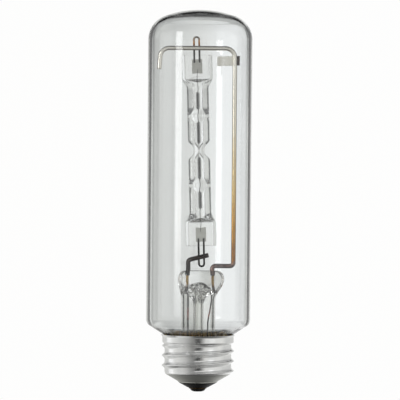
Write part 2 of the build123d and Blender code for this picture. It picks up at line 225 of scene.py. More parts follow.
def linear(hex_code):
    """Linear light of an sRGB hex colour: s / 12.92 up to 0.04045, else ((s + 0.055) / 1.055) ^ 2.4."""
    shades = [int(hex_code[start:start + 2], 16) / 255 for start in (1, 3, 5)]
    return [s / 12.92 if s <= 0.04045 else ((s + 0.055) / 1.055) ** 2.4 for s in shades] + [1.0]


def add_node(tree, kind, inputs=None, **settings):
    """Adds a node: settings are its own properties, and each input is linked if it is a socket, else set."""
    node = tree.nodes.new("ShaderNode" + kind)
    for name, value in settings.items():
        setattr(node, name, value)
    for name, value in (inputs or {}).items():
        if isinstance(value, bpy.types.NodeSocket):
            tree.links.new(value, node.inputs[name])
        else:
            node.inputs[name].default_value = value
    return node


def set_stops(node, stops):
    """Colour stops of a ramp: pairs of place and hex colour, in rising order."""
    elements = node.color_ramp.elements
    elements[0].position, elements[1].position = stops[0][0], stops[-1][0]
    elements[0].color, elements[1].color = linear(stops[0][1]), linear(stops[-1][1])
    for place, colour in stops[1:-1]:
        elements.new(place).color = linear(colour)
    return node.outputs["Color"]


def new_finish(name):
    """An empty node material with its Principled shader and its Object coordinates."""
    finish = bpy.data.materials.new(name)
    finish.use_nodes = True
    tree = finish.node_tree
    shader = tree.nodes["Principled BSDF"]
    place = add_node(tree, "TexCoord").outputs["Object"]
    return finish, tree, shader, place


def per_mm(size):
    """A pattern's scale in Object coordinates for features of this size in millimetres."""
    return 1 / (size * MM)


print("mid grey #808080 is", round(linear("#808080")[0], 3), "in linear light")

# %% [markdown]
# Glass
#
# Three glasses meet in this lamp. The outer tube is blown soda-lime glass, the stem is a softer pressed
# glass, and the burner is fused quartz, which bends light a little less. All three are clear, so what
# shows is their edges, their walls and a faint waviness from drawing. A true wall with an outer and an
# inner face gives the dark lines at the edges by itself, which a single see-through sheet would not. Two
# inner faces have a finish of their own: the torn hole in the stem, and the bore of the burner.

# %% Glass finishes
SODA_LIME_IOR = 1.51
STEM_IOR = 1.52
QUARTZ_IOR = 1.46
# Lower than quartz: a full step to gas would draw a second dark line along the bore.
BORE_IOR = 1.15
TINT_CLOUD_MM = 14
OXIDE_SPOT_MM = 1.6
OXIDE_COLOUR = "#0c0a08"
TEAR_EASE_MM = 1.5


def clear_glass(name, tint, deep_tint, ior, wave_mm, wave_height_mm, stretch=0.08, above=None):
    """Clear glass: full transmission, two close tints in soft clouds, and waves that the stretch draws out
    along the axis. With a level in above, in millimetres, the waves start just below it, and dark spots of
    oxide come with them."""
    finish, tree, shader, place = new_finish(name)
    stretched = add_node(tree, "Mapping", {"Vector": place, "Scale": (1, 1, stretch)})
    waves = add_node(tree, "TexNoise", {
        "Vector": stretched.outputs["Vector"], "Scale": per_mm(wave_mm), "Detail": 1.0,
    })
    clouds = add_node(tree, "TexNoise", {"Vector": place, "Scale": per_mm(TINT_CLOUD_MM), "Detail": 2.0})
    tints = add_node(tree, "MixRGB", {
        "Fac": clouds.outputs["Fac"], "Color1": linear(tint), "Color2": linear(deep_tint),
    })
    bump = add_node(tree, "Bump", {
        "Height": waves.outputs["Fac"], "Distance": wave_height_mm * MM, "Strength": 1.0,
    })
    colour = tints.outputs["Color"]
    if above is not None:
        split = add_node(tree, "SeparateXYZ", {"Vector": place})
        started = add_node(tree, "MapRange", {
            "Value": split.outputs["Z"], "From Min": (above - TEAR_EASE_MM) * MM, "From Max": above * MM,
        })
        grain = add_node(tree, "TexNoise", {"Vector": place, "Scale": per_mm(OXIDE_SPOT_MM), "Detail": 2.0})
        spots = add_node(tree, "MapRange", {
            "Value": grain.outputs["Fac"], "From Min": 0.55, "From Max": 0.58,
            "To Max": started.outputs["Result"],
        })
        oxide = add_node(tree, "MixRGB", {
            "Fac": spots.outputs["Result"], "Color1": colour, "Color2": linear(OXIDE_COLOUR),
        })
        colour = oxide.outputs["Color"]
        tree.links.new(started.outputs["Result"], bump.inputs["Strength"])
    tree.links.new(colour, shader.inputs["Base Color"])
    tree.links.new(bump.outputs["Normal"], shader.inputs["Normal"])
    shader.inputs["Transmission Weight"].default_value = 1.0
    shader.inputs["Roughness"].default_value = 0.0
    shader.inputs["IOR"].default_value = ior
    return finish


# Blown glass is a trace cool, with long waves that make reflections run a little.
BLOWN_GLASS = clear_glass("blown soda-lime glass", "#f8f9f9", "#f3f5f5", SODA_LIME_IOR, 9, 0.01)
# Pressed glass is a trace warm, with shorter waves from the tongs.
PRESSED_GLASS = clear_glass("pressed stem glass", "#fbfbfa", "#f6f6f4", STEM_IOR, 3, 0.012)
# Torn glass is steep and ragged, so it flashes light and dark, and oxide of the wires dulls it in spots.
TORN_GLASS = clear_glass("torn vent glass", "#fbfbfa", "#f6f6f4", STEM_IOR, 1.3, 1.0, stretch=0.6,
                         above=STEM_TOP - 8.5)
# Fused quartz is the clearest of them, nearly without colour.
FUSED_QUARTZ = clear_glass("fused quartz", "#ffffff", "#fcfcfb", QUARTZ_IOR, 1.6, 0.01)
# The bore has the same clear quartz with a soft edge, so the burner looks pale inside.
BORE_QUARTZ = clear_glass("quartz bore", "#ffffff", "#fcfcfb", BORE_IOR, 1.6, 0.01)
GLASSES = (BLOWN_GLASS, PRESSED_GLASS, TORN_GLASS, FUSED_QUARTZ, BORE_QUARTZ)
print("glass finishes:", *(glass.name for glass in GLASSES), sep="\n  ")

# %% [markdown]
# The outer bulb
#
# The bulb is blown in a mould: a straight tube, a dome with a round corner and a shallow crown, and a cone
# shoulder that runs into the neck. The glass gathers towards the neck, so the wall thickens there. That
# wedge bends the light down into the cap, which is why brown cement shows through the shoulder. One line
# goes from the crown down the outside, under the neck and up the inside, and is turned about the axis.

# %% Outer bulb
BULB_WALL = 1.2
DOME_CORNER = 9.0
DOME_CROWN = 38.0
NECK_RADIUS = 11.1
NECK_WALL = 1.4
SHOULDER_RISE = 0.637
SHOULDER_RISE_INSIDE = 0.6
SHOULDER_SEAT = 12.64
SHOULDER_FILLET = 2.85
SHOULDER_FILLET_INSIDE = 2.4
SHOULDER_LIFT_INSIDE = 0.3
NECK_FILLET = 2.0
POLE_RADIUS = 0.02
BULB_STEP = 1.2


def dome_line(wall):
    """The dome from its crown to the tube's top: a crown arc of radius DOME_CROWN that runs tangent into a
    corner arc of radius DOME_CORNER, both less the wall."""
    corner_x = BULB_RADIUS - DOME_CORNER
    crown_z = BULB_TOP - DOME_CROWN
    corner_z = crown_z + math.sqrt((DOME_CROWN - DOME_CORNER) ** 2 - corner_x**2)
    meet = math.atan2(corner_z - crown_z, corner_x)
    crown = np.linspace(np.pi / 2 - POLE_RADIUS / DOME_CROWN, meet, 28, endpoint=False)
    corner = np.linspace(meet, 0, 36)
    crown_radius, corner_radius = DOME_CROWN - wall, DOME_CORNER - wall
    crown_part = np.stack([crown_radius * np.cos(crown), crown_z + crown_radius * np.sin(crown)], axis=-1)
    corner_part = np.stack([corner_x + corner_radius * np.cos(corner),
                            corner_z + corner_radius * np.sin(corner)], axis=-1)
    return np.vstack([crown_part, corner_part])


def bulb_profile():
    """Half section of the bulb from the outer crown round the neck's rim to the inner crown."""
    outer_dome = dome_line(0)
    inner_dome = dome_line(BULB_WALL)
    tube, bore = BULB_RADIUS, BULB_RADIUS - BULB_WALL
    neck_bore = NECK_RADIUS - NECK_WALL
    outer_top = CAP_TOP + SHOULDER_RISE * (tube - SHOULDER_SEAT)
    outer_neck = CAP_TOP + SHOULDER_RISE * (NECK_RADIUS - SHOULDER_SEAT)
    inner_top = outer_top + SHOULDER_LIFT_INSIDE
    inner_neck = inner_top - SHOULDER_RISE_INSIDE * (bore - neck_bore)
    outside = rounded_line(
        [outer_dome[-1], (tube, outer_top), (NECK_RADIUS, outer_neck), (NECK_RADIUS, BULB_BOTTOM)],
        [SHOULDER_FILLET, NECK_FILLET], BULB_STEP)
    inside = rounded_line(
        [(neck_bore, BULB_BOTTOM), (neck_bore, inner_neck), (bore, inner_top), inner_dome[-1]],
        [NECK_FILLET + NECK_WALL, SHOULDER_FILLET_INSIDE], BULB_STEP)
    return np.vstack([outer_dome[:-1], outside, inside, inner_dome[-2::-1]])


add_piece("outer_bulb_glass", [skin(turned_rings(bulb_profile(), 256))], BLOWN_GLASS,
          ["outer_bulb"])

# %% [markdown]
# The stem
#
# A stem starts as a flared tube. Its hot end is pressed flat round the wires, and a thin exhaust tube is
# fused into it, whose hole was blown through the press. All of it is one piece of glass here: one line
# from the tip of the exhaust tube up to a bowl under the press, down the inside of the flare, round its
# rim and up the outside, where the round section flattens into the press. Smooth glass would look too tidy
# there: the fold round the bowl and the blown hole are torn, so sines of the angle wave them.

# %% Stem
STEM_RADIUS = 6.2
STEM_WALL = 1.0
STEM_STEP = 0.6
FLARE_RADIUS = 3.0
FLARE_GAP = 0.2
PRESS_LENGTH = 11.0
PRESS_CROWN = 3.2
PRESS_HALF_WIDTH = 8.45
PRESS_HALF_DEPTH = 3.4
PRESS_TOP_WIDTH = 5.9
PRESS_TOP_DEPTH = 2.2
PRESS_SOLID = 10.3
PRESS_SHIFT = 0.9
BOWL_Z = STEM_TOP - PRESS_SOLID
BOWL_RADIUS = STEM_RADIUS - STEM_WALL
BOWL_RISE = 3.6
EXHAUST_TIP = node_low("exhaust_tube")[2]
EXHAUST_RADIUS = 1.85
EXHAUST_MOUTH = 2.6
EXHAUST_SPREAD = 1.6
EXHAUST_POLE = 0.05


def stem_line():
    """Half section of the stem below its press, from the exhaust tube's tip to the outside of the tube."""
    flare_edge = NECK_RADIUS - FLARE_GAP
    return rounded_line(
        [(EXHAUST_POLE, EXHAUST_TIP), (EXHAUST_RADIUS, EXHAUST_TIP),
         (EXHAUST_RADIUS, BOWL_Z - EXHAUST_SPREAD), (EXHAUST_MOUTH, BOWL_Z),
         (BOWL_RADIUS, BOWL_Z + BOWL_RISE), (BOWL_RADIUS, STEM_BOTTOM + FLARE_RADIUS),
         (flare_edge, STEM_BOTTOM), (flare_edge, STEM_BOTTOM + STEM_WALL),
         (STEM_RADIUS, STEM_BOTTOM + STEM_WALL), (STEM_RADIUS, STEM_TOP - PRESS_LENGTH)],
        [1.6, 1.3, 0.9, 0.45, FLARE_RADIUS, 0.2, 0.2, FLARE_RADIUS], STEM_STEP)


def fold_tear(rings):
    """How far the fold of the bowl is moved up at each point: three sines of the angle, which a smooth step
    of the height brings in towards the fold. Points outside the bowl's radius stay."""
    turn = full_turn(rings.shape[1])
    in_bowl = np.hypot(rings[..., 0], rings[..., 1]) < BOWL_RADIUS + 0.1
    torn = smooth_step(BOWL_Z - 1, BOWL_Z + BOWL_RISE, rings[..., 2]) * in_bowl
    waves = 0.6 * np.sin(3 * turn + 0.5) + 0.5 * np.sin(7 * turn + 1.7) + 0.4 * np.sin(13 * turn + 0.4)
    return torn * waves


def press_rings(sides):
    """Rings of the press from its foot to its top: ovals whose half width grows and half depth shrinks by a
    smooth step of the height, while they move a little aside. At the top both round off as a quarter
    ellipse."""
    drop = PRESS_LENGTH * (1 - np.linspace(0, 1, 40)[1:])
    fine = PRESS_CROWN * np.cos(np.linspace(0, np.pi / 2, 16))[1:]
    drop = np.concatenate([drop[drop > PRESS_CROWN], [PRESS_CROWN], fine])[:, None]
    blend = smooth_step(0, PRESS_LENGTH - PRESS_CROWN, PRESS_LENGTH - drop)
    rounding = 1 - np.sqrt(1 - np.clip(1 - drop / PRESS_CROWN, 0, 1) ** 2)
    width = STEM_RADIUS + (PRESS_HALF_WIDTH - STEM_RADIUS) * blend
    depth = STEM_RADIUS + (PRESS_HALF_DEPTH - STEM_RADIUS) * blend
    width -= (PRESS_HALF_WIDTH - PRESS_TOP_WIDTH) * rounding
    depth -= (PRESS_HALF_DEPTH - PRESS_TOP_DEPTH) * rounding
    angle = full_turn(sides)
    return np.stack([width * np.cos(angle) + PRESS_SHIFT * blend, depth * np.sin(angle),
                     STEM_TOP - drop + 0 * angle], axis=-1)


def stem_rings(sides=160):
    """Rings of the stem. Where the line below reaches up into the press, it widens, flattens and moves aside
    with it, by the same smooth step of the height."""
    rings = turned_rings(stem_line(), sides)
    rings[..., 2] += fold_tear(rings)
    pressed = smooth_step(STEM_TOP - PRESS_LENGTH, STEM_TOP - PRESS_CROWN, rings[..., 2])
    rings[..., 0] *= 1 + (PRESS_HALF_WIDTH / STEM_RADIUS - 1) * pressed
    rings[..., 0] += PRESS_SHIFT * pressed
    rings[..., 1] *= 1 + (PRESS_HALF_DEPTH / STEM_RADIUS - 1) * pressed
    return np.vstack([rings, press_rings(sides)])


print("rings of the stem:", len(stem_rings()))

# %% Exhaust bore and vent
EXHAUST_BORE = 1.1
BORE_START = 0.8
BORE_FOOT = 0.75
VENT_HALF_WIDTH = 2.7
VENT_HALF_DEPTH = 1.4
VENT_TOP = STEM_TOP - 4.6
VENT_ROUND = 2.2
VENT_SHIFT = 0.5


def vent_rings(sides=128):
    """Rings of the exhaust bore: a round tube that swells to a flat blown hole in the press. The hole's wall
    is lobed by slow and quick waves round it, which turn along its height."""
    height = np.concatenate([np.linspace(EXHAUST_TIP + BORE_START, BOWL_Z, 30),
                             np.linspace(BOWL_Z, VENT_TOP, 60)[1:]])[:, None]
    swell = smooth_step(BOWL_Z - 0.6, VENT_TOP - 1.8, height)
    tip = np.sqrt(1 - np.clip((height - VENT_TOP + VENT_ROUND) / VENT_ROUND, 0, 0.999) ** 2)
    foot = np.sqrt(np.clip((height - EXHAUST_TIP - BORE_FOOT) / EXHAUST_BORE, 0.01, 1))
    width = (EXHAUST_BORE + (VENT_HALF_WIDTH - EXHAUST_BORE) * swell) * tip * foot
    depth = (EXHAUST_BORE + (VENT_HALF_DEPTH - EXHAUST_BORE) * swell) * tip * foot
    angle = full_turn(sides)
    lobes = 1 + swell * (0.2 * np.cos(3 * angle + 0.9 * height) + 0.14 * np.sin(2 * angle + 1.9 * height)
                         + 0.16 * np.sin(7 * angle - 3.1 * height) + 0.1 * np.cos(11 * angle + 5.3 * height))
    return np.stack([width * lobes * np.cos(angle) + VENT_SHIFT * swell, depth * lobes * np.sin(angle),
                     height + 0 * angle], axis=-1)


add_piece("stem_glass", [skin(stem_rings()), skin(vent_rings(), cavity=True)], PRESSED_GLASS,
          ["stem", "exhaust_tube"], lining=TORN_GLASS)

# %% [markdown]
# The quartz burner
#
# The burner is a thick quartz tube. Two crimps are pinched from front to back and the middle one from side
# to side, to carry the filament, and both ends are pressed flat round a foil. A boolean model can do this,
# but its edges stay sharp. Here one formula carries the section along the axis: an ellipse that is
# squeezed at each crimp, and that changes smoothly into the ribbed flat section of the seals. The bore is
# a second skin, drawn narrow, so that the thick wall shows as bright lines on both sides of the filament.

# %% Crimps and seals of the burner
BURNER_LEAN = math.radians(1.75)
BURNER_SHIFT = -0.2
BURNER_MIDDLE = (node_low("burner_envelope")[2] + node_high("burner_envelope")[2]) / 2
BURNER_HALF = 34.7
QUARTZ_RADIUS = 4.0
CRIMP_SPACING = 12.7
CRIMP_HALF_LENGTH = 3.1
FRONT_WAIST = 3.5
SIDE_HALF_LENGTH = 3.8
SIDE_HALF_FLAT = 0.2
SIDE_WAIST = 1.5
FLARE_START = 22.7
FLARE_END = 26.5


def burner_place(points):
    """Points on the burner's own axis moved into the lamp: turned by the lean about Y, then shifted."""
    x, y, z = points[..., 0], points[..., 1], points[..., 2]
    lean_x = x * math.cos(BURNER_LEAN) - z * math.sin(BURNER_LEAN)
    lean_z = x * math.sin(BURNER_LEAN) + z * math.cos(BURNER_LEAN)
    return np.stack([lean_x + BURNER_SHIFT, y, lean_z + BURNER_MIDDLE], axis=-1)


def front_share(height):
    """How far the outer crimps are pressed in at a height: (1 - u^2)^2 within their length, 0 outside."""
    u = np.clip((np.abs(height) - CRIMP_SPACING) / CRIMP_HALF_LENGTH, -1, 1)
    return (1 - u * u) ** 2


def side_share(height):
    """How far the middle crimp is pressed in: a smooth step of the distance from its short waist."""
    return smooth_step(SIDE_HALF_LENGTH, SIDE_HALF_FLAT, np.abs(height))


def corner_power(value, power):
    """Sign of a value times its size to a power: squares off the corners of an oval."""
    return np.sign(value) * np.abs(value) ** power


print(f"burner: {2 * BURNER_HALF:.1f} mm long, its middle at {BURNER_MIDDLE:.1f} mm")

# %% Outside of the burner
JAW_MARK = 0.25
JAW_HALF_WIDTH = 1.35
JAW_HALF_HEIGHT = 0.65
JAW_SLOPE_ACROSS = 0.4
JAW_SLOPE_ALONG = 0.35
SEAL_HALF_WIDTH = 5.6
SEAL_HALF_DEPTH = 1.2
SEAL_SQUARENESS = 0.26
SEAL_ROUND = 0.35
RIB_WIDTH = 1.0
RIB_HALF_DEPTH = 1.7
RIB_SLOPE = 0.35


def tube_section(height, turn):
    """The crimped tube: x = W cos u and y = D sin u. W falls at the middle crimp by the square of cos u, and
    D at the outer ones, which also carry the shallow mark of their jaws, a rectangle at front and back."""
    pinch = (QUARTZ_RADIUS - SIDE_WAIST) * side_share(height) * np.abs(np.cos(turn)) ** 2
    x = (QUARTZ_RADIUS - pinch) * np.cos(turn)
    y = (QUARTZ_RADIUS - (QUARTZ_RADIUS - FRONT_WAIST) * front_share(height)) * np.sin(turn)
    from_crimp = np.abs(np.abs(height) - CRIMP_SPACING)
    jaw = smooth_step(JAW_HALF_WIDTH + JAW_SLOPE_ACROSS, JAW_HALF_WIDTH, np.abs(x))
    jaw = jaw * smooth_step(JAW_HALF_HEIGHT + JAW_SLOPE_ALONG, JAW_HALF_HEIGHT, from_crimp)
    return x, y - JAW_MARK * jaw * np.sign(np.sin(turn)) * (np.abs(np.sin(turn)) > 0.3)


def envelope_rings(sides=144):
    """Rings of the quartz outside: the tube's section, blended over the flares into a squared oval with
    powers of cos and sin, whose depth steps up to a rib at both edges. The ends round off as a quarter
    circle."""
    ends = BURNER_HALF - SEAL_ROUND * (1 - np.sin(np.linspace(0, np.pi / 2, 7)))
    body = np.linspace(-BURNER_HALF + SEAL_ROUND, BURNER_HALF - SEAL_ROUND, 300)
    height = np.concatenate([-ends[::-1], body[1:-1], ends])[:, None]
    turn = full_turn(sides)[None]
    tube_x, tube_y = tube_section(height, turn)
    square_x = corner_power(np.cos(turn), SEAL_SQUARENESS)
    square_y = corner_power(np.sin(turn), SEAL_SQUARENESS)
    seal_x = SEAL_HALF_WIDTH * square_x
    rib_start = SEAL_HALF_WIDTH - RIB_WIDTH
    rib = smooth_step(rib_start - RIB_SLOPE, rib_start, np.abs(seal_x))
    seal_y = (SEAL_HALF_DEPTH + (RIB_HALF_DEPTH - SEAL_HALF_DEPTH) * rib) * square_y
    blend = smooth_step(FLARE_START, FLARE_END, np.abs(height))
    past = np.clip(np.abs(height) - BURNER_HALF + SEAL_ROUND, 0, None)
    shrink = SEAL_ROUND - np.sqrt(np.clip(SEAL_ROUND**2 - past**2, 0, None))
    x = tube_x + (seal_x - tube_x) * blend - shrink * np.sign(seal_x) * np.abs(square_x)
    y = tube_y + (seal_y - tube_y) * blend - shrink * np.sign(seal_y) * np.abs(square_y)
    return burner_place(np.stack([x, y, height + 0 * turn], axis=-1))


print("rings of the burner:", len(envelope_rings()))

# %% Bore of the burner
QUARTZ_BORE = 1.33
FRONT_SLOT = 0.5
SIDE_SLOT = 0.3
CRIMP_SPREAD = 0.75
BORE_END_WIDTH = 2.6
BORE_END_SLOT = 0.25
BORE_CLOSE = 0.5
BORE_EASE = 0.6


def bore_rings(sides=96):
    """Rings of the burner's bore: ellipses that each crimp narrows to a slot and spreads the other way. The
    ends fan out to a thin slot in the seals and close there as a quarter ellipse."""
    limit = FLARE_END + BORE_CLOSE
    height = limit * np.sin(np.linspace(-1, 1, 300) * np.pi / 2 * 0.995)[:, None]
    turn = full_turn(sides)[None]
    side, front = side_share(height), front_share(height)
    width = QUARTZ_BORE - (QUARTZ_BORE - SIDE_SLOT) * side + CRIMP_SPREAD * front
    depth = QUARTZ_BORE - (QUARTZ_BORE - FRONT_SLOT) * front + CRIMP_SPREAD * side
    blend = smooth_step(FLARE_START - BORE_EASE, FLARE_END - 0.4, np.abs(height))
    width = width + (BORE_END_WIDTH - width) * blend
    depth = depth + (BORE_END_SLOT - depth) * blend
    past = np.clip((np.abs(height) - FLARE_END + BORE_EASE) / (BORE_CLOSE + BORE_EASE), 0, 1)
    tip = np.sqrt(np.clip(1 - past**2, 0.001, 1))
    return burner_place(np.stack([width * tip * np.cos(turn), depth * tip * np.sin(turn),
                                  height + 0 * turn], axis=-1))


add_piece("quartz_burner", [skin(envelope_rings()), skin(bore_rings(), cavity=True)], FUSED_QUARTZ,
          ["burner_envelope"], lining=BORE_QUARTZ)

# %% [markdown]
# Metals of the mount
#
# The frame is nickel wire. Welding and the first burn leave heat tints on it: purple near the foot, then
# brown and straw up the long side, and bare metal at the top. The cross lead is scorched nearly black. The
# hairpins and foils are molybdenum, and the filament is grey tungsten. Each finish is a metal whose colour
# follows the height, or for the strip its length, broken up by noise, with a fine grain in the roughness.
# Vertex colours could do it too, but a ramp over the height is quick to match to a picture.

# %% Metal finishes
TINT_CLOUDS_MM = 3.5
TINT_SHIFT = 0.16
METAL_GRAIN_HEIGHT = 0.02


def heat_tinted_metal(name, low, high, stops, grain_mm, rough, spread, metallic=1.0, axis="Z"):
    """Bare metal with heat tints: a ramp of colours over the span from low to high, in millimetres along an
    axis, shifted by noise. Fine grain moves the roughness by its spread and lifts a faint bump."""
    finish, tree, shader, place = new_finish(name)
    split = add_node(tree, "SeparateXYZ", {"Vector": place})
    clouds = add_node(tree, "TexNoise", {"Vector": place, "Scale": per_mm(TINT_CLOUDS_MM), "Detail": 4.0})
    shift = TINT_SHIFT * (high - low) * MM
    shifted = add_node(tree, "Math", {
        0: clouds.outputs["Fac"], 1: shift, 2: split.outputs[axis],
    }, operation="MULTIPLY_ADD")
    share = add_node(tree, "MapRange", {
        "Value": shifted.outputs["Value"],
        "From Min": low * MM + shift / 2, "From Max": high * MM + shift / 2,
    })
    ramp = add_node(tree, "ValToRGB", {"Fac": share.outputs["Result"]})
    tree.links.new(set_stops(ramp, stops), shader.inputs["Base Color"])
    grain = add_node(tree, "TexNoise", {"Vector": place, "Scale": per_mm(grain_mm), "Detail": 5.0})
    roughness = add_node(tree, "MapRange", {
        "Value": grain.outputs["Fac"], "From Min": 0.3, "From Max": 0.7,
        "To Min": rough - spread, "To Max": rough + spread,
    })
    bump = add_node(tree, "Bump", {
        "Height": grain.outputs["Fac"], "Distance": METAL_GRAIN_HEIGHT * MM, "Strength": 0.5,
    })
    tree.links.new(roughness.outputs["Result"], shader.inputs["Roughness"])
    tree.links.new(bump.outputs["Normal"], shader.inputs["Normal"])
    shader.inputs["Metallic"].default_value = metallic
    return finish


# Nickel wire, drawn bright: gold and brown where it was hot, a soft silver sheen above.
NICKEL_WIRE = heat_tinted_metal("heat-tinted nickel wire", STEM_TOP, STEM_TOP + 86, [
    (0.0, "#5a4a44"), (0.035, "#8a716a"), (0.06, "#8c5a26"), (0.2, "#b98838"), (0.35, "#d2b47a"),
    (0.6, "#dcd2bf"), (0.85, "#e4dfd5"), (1.0, "#dad5cb"),
], 0.5, 0.2, 0.08)
# The same wire burnt to a dull brown black.
SCORCHED_WIRE = heat_tinted_metal("scorched nickel wire", STEM_TOP - 1, STEM_TOP + 9, [
    (0.0, "#2b2422"), (0.45, "#3b2f2a"), (0.7, "#2a1f1b"), (1.0, "#4a3a30"),
], 0.4, 0.45, 0.15)
# Rolled strip, nearly white, with a dark burnt end at the wire. Its ramp runs along X.
# The grey band near its left end is painted shade of the strip's curve.
GETTER_METAL = heat_tinted_metal("rolled getter strip", 5, 14, [
    (0.0, "#f8f7f2"), (0.1, "#f0eee8"), (0.22, "#cfcac0"), (0.36, "#f2efe8"), (0.8, "#ece8de"),
    (0.91, "#6a4438"), (0.94, "#2e1c18"), (1.0, "#241512"),
], 0.6, 0.32, 0.08, metallic=0.95, axis="X")
# Molybdenum wire, nearly black, with a brown and then grey end on the upper hairpin.
HAIRPIN_WIRE = heat_tinted_metal("dark molybdenum wire", BULB_TOP - 21, BULB_TOP - 8, [
    (0.0, "#100e0d"), (0.48, "#1a1411"), (0.6, "#7a4420"), (0.75, "#a5743e"), (0.87, "#8a867c"),
    (1.0, "#8a867c"),
], 0.4, 0.4, 0.12)
# Etched foil: a pale, even grey.
MOLYBDENUM_FOIL = heat_tinted_metal("matt molybdenum foil", STEM_TOP + 9, STEM_TOP + 79, [
    (0.0, "#d6d5cf"), (0.5, "#d0cfc9"), (1.0, "#c4c3bd"),
], 0.5, 0.38, 0.05)
# Tungsten, a dark neutral grey. The coil's own turns make it look finely ribbed.
TUNGSTEN = heat_tinted_metal("coiled tungsten", STEM_TOP + 15, STEM_TOP + 75, [
    (0.0, "#6c6c6c"), (0.5, "#606060"), (1.0, "#727272"),
], 0.15, 0.42, 0.1)
# Copper-clad wire shows gold through the press, and dark at its lower end.
SEAL_WIRE = heat_tinted_metal("copper-clad sealing wire", STEM_TOP - 8, STEM_TOP - 2, [
    (0.0, "#2c2018"), (0.25, "#3a2818"), (0.36, "#8c6428"), (0.5, "#c49a48"), (1.0, "#b8903c"),
], 0.5, 0.4, 0.1, metallic=0.7)
# Copper leads are blackened, with one stretch of bare red copper.
LEAD_WIRE = heat_tinted_metal("darkened copper lead", CAP_TOP, STEM_TOP - 6, [
    (0.0, "#1b1512"), (0.3, "#241a16"), (0.4, "#96442e"), (0.52, "#7a3626"), (0.6, "#1e1714"),
    (1.0, "#14100f"),
], 0.4, 0.45, 0.12, metallic=0.8)
print("the frame's tints run from", round(STEM_TOP), "to", round(STEM_TOP + 86), "mm")

# %% [markdown]
# Wires
#
# Each wire is drawn along a line with rounded bends, as a bending jig would leave it. The frame goes from
# the press out to the side, up past the burner, across its top and down again to a free tip. The cross
# lead is short and comes up on the left to carry the burner's lower end. The cut ends are slightly
# rounded. A bevelled curve would do, but a grid lets the radius change at the ends.

# %% Frame and cross lead
FRAME_RADIUS = 0.825
FRAME_SIDE_X = node_high("frame_wire")[0] - FRAME_RADIUS
FRAME_TIP_X = node_low("frame_wire")[0] + FRAME_RADIUS
FRAME_FOOT_X = 4.9
FRAME_FOOT_RISE = 1.7
FRAME_Y = node_low("frame_wire")[1] + FRAME_RADIUS
FRAME_FOOT_BEND = 1.3
FRAME_BEND = 3.4
CROSSBAR_Z = node_high("frame_wire")[2] - FRAME_RADIUS
TIP_LEAN = 0.5
TIP_DROP = 7.7
EMBEDDED_Z = STEM_TOP - 2.0
CROSS_RADIUS = 0.825
CROSS_LEAD_X = -3.8
CROSS_Y = node_low("cross_lead")[1] + CROSS_RADIUS
CROSS_RISE = 0.8
CROSS_BEND = 1.2
CROSS_SLOPE = math.tan(math.radians(14))
CROSS_OVERHANG = 2.6
CROSSING_DROP = 4.0


def wire(corners, bends, radius, sides, front=(0, 1, 0), step=0.3, end_round=0.3):
    """Skin of a bent wire. At both ends its radius falls off as a quarter circle, over end_round of a
    radius."""
    path = rounded_line(corners, bends, step)
    distance = along(path)
    end = end_round * radius
    steps = end * np.array([0.04, 0.15, 0.35, 0.65, 1.0])
    extra = np.concatenate([steps, distance[-1] - steps[::-1]])
    spots = np.unique(np.concatenate([distance, extra]))
    path = np.stack([np.interp(spots, distance, path[:, axis]) for axis in range(3)], axis=-1)
    near = np.minimum(spots, spots[-1] - spots)
    share = np.clip(1 - near / end, 0, 1)
    size = radius - end * (1 - np.sqrt(1 - share**2))
    return skin(wire_rings(path, size, sides, front))


frame_corners = [
    (FRAME_FOOT_X, 0, EMBEDDED_Z),
    (FRAME_FOOT_X, 0, STEM_TOP + FRAME_FOOT_RISE),
    (FRAME_SIDE_X, FRAME_Y, STEM_TOP + FRAME_FOOT_RISE),
    (FRAME_SIDE_X, FRAME_Y, CROSSBAR_Z),
    (FRAME_TIP_X + TIP_LEAN, FRAME_Y, CROSSBAR_Z),
    (FRAME_TIP_X, FRAME_Y, CROSSBAR_Z - TIP_DROP),
]
frame_bends = [FRAME_FOOT_BEND, FRAME_FOOT_BEND, FRAME_BEND, FRAME_BEND]
add_piece("frame_wire_bent", [wire(frame_corners, frame_bends, FRAME_RADIUS, 28)], NICKEL_WIRE,
          ["frame_wire"])

crossing_x = BURNER_SHIFT + (BURNER_HALF + CROSSING_DROP) * math.sin(BURNER_LEAN)
crossing_z = BURNER_MIDDLE - BURNER_HALF - CROSSING_DROP
cross_corners = [
    (CROSS_LEAD_X, 0, EMBEDDED_Z),
    (CROSS_LEAD_X, 0, STEM_TOP + CROSS_RISE),
    (CROSS_LEAD_X, CROSS_Y, crossing_z - CROSS_SLOPE * (crossing_x - CROSS_LEAD_X)),
    (crossing_x + CROSS_OVERHANG, CROSS_Y, crossing_z + CROSS_SLOPE * CROSS_OVERHANG),
]
add_piece("cross_lead_bent", [wire(cross_corners, [CROSS_BEND] * 2, CROSS_RADIUS, 24)], SCORCHED_WIRE,
          ["cross_lead"])

# %% [markdown]
# Seal wires and outer leads
#
# In the press each heavy wire is welded to a short copper-clad one, which takes the seal. Below it a thin
# lead goes on: the right one through the eyelet to the centre contact, the left one round under the neck
# and up outside it to the solder on the shell. They are made as the frame is, from corners and bends.

# %% Seal wires and outer leads
SEAL_RADIUS = 0.45
SEAL_LENGTH = 6.0
LEAD_BEND = 0.8
LEAD_TOP = EMBEDDED_Z - SEAL_LENGTH
LEAD_TURN = STEM_BOTTOM - 0.9
CONTACT_LEAD_RADIUS = 0.27
CONTACT_LEAD_X = 3.5
CONTACT_LEAD_STRAIGHT = 2.6
CONTACT_LEAD_SLANT_END = 10.6
CONTACT_LEAD_END = 0.55
EYELET_TOP = node_high("contact_plate")[2]
SHELL_LEAD_RADIUS = 0.36
SHELL_LEAD_REACH = 11.475
SHELL_LEAD_END = 13.25
SOLDER_ANGLE = math.radians(100)
SOLDER_Z = CAP_TOP - 2.2


def at_solder(radius, height):
    """A point at this distance from the axis, towards the solder on the shell."""
    return radius * math.cos(SOLDER_ANGLE), radius * math.sin(SOLDER_ANGLE), height


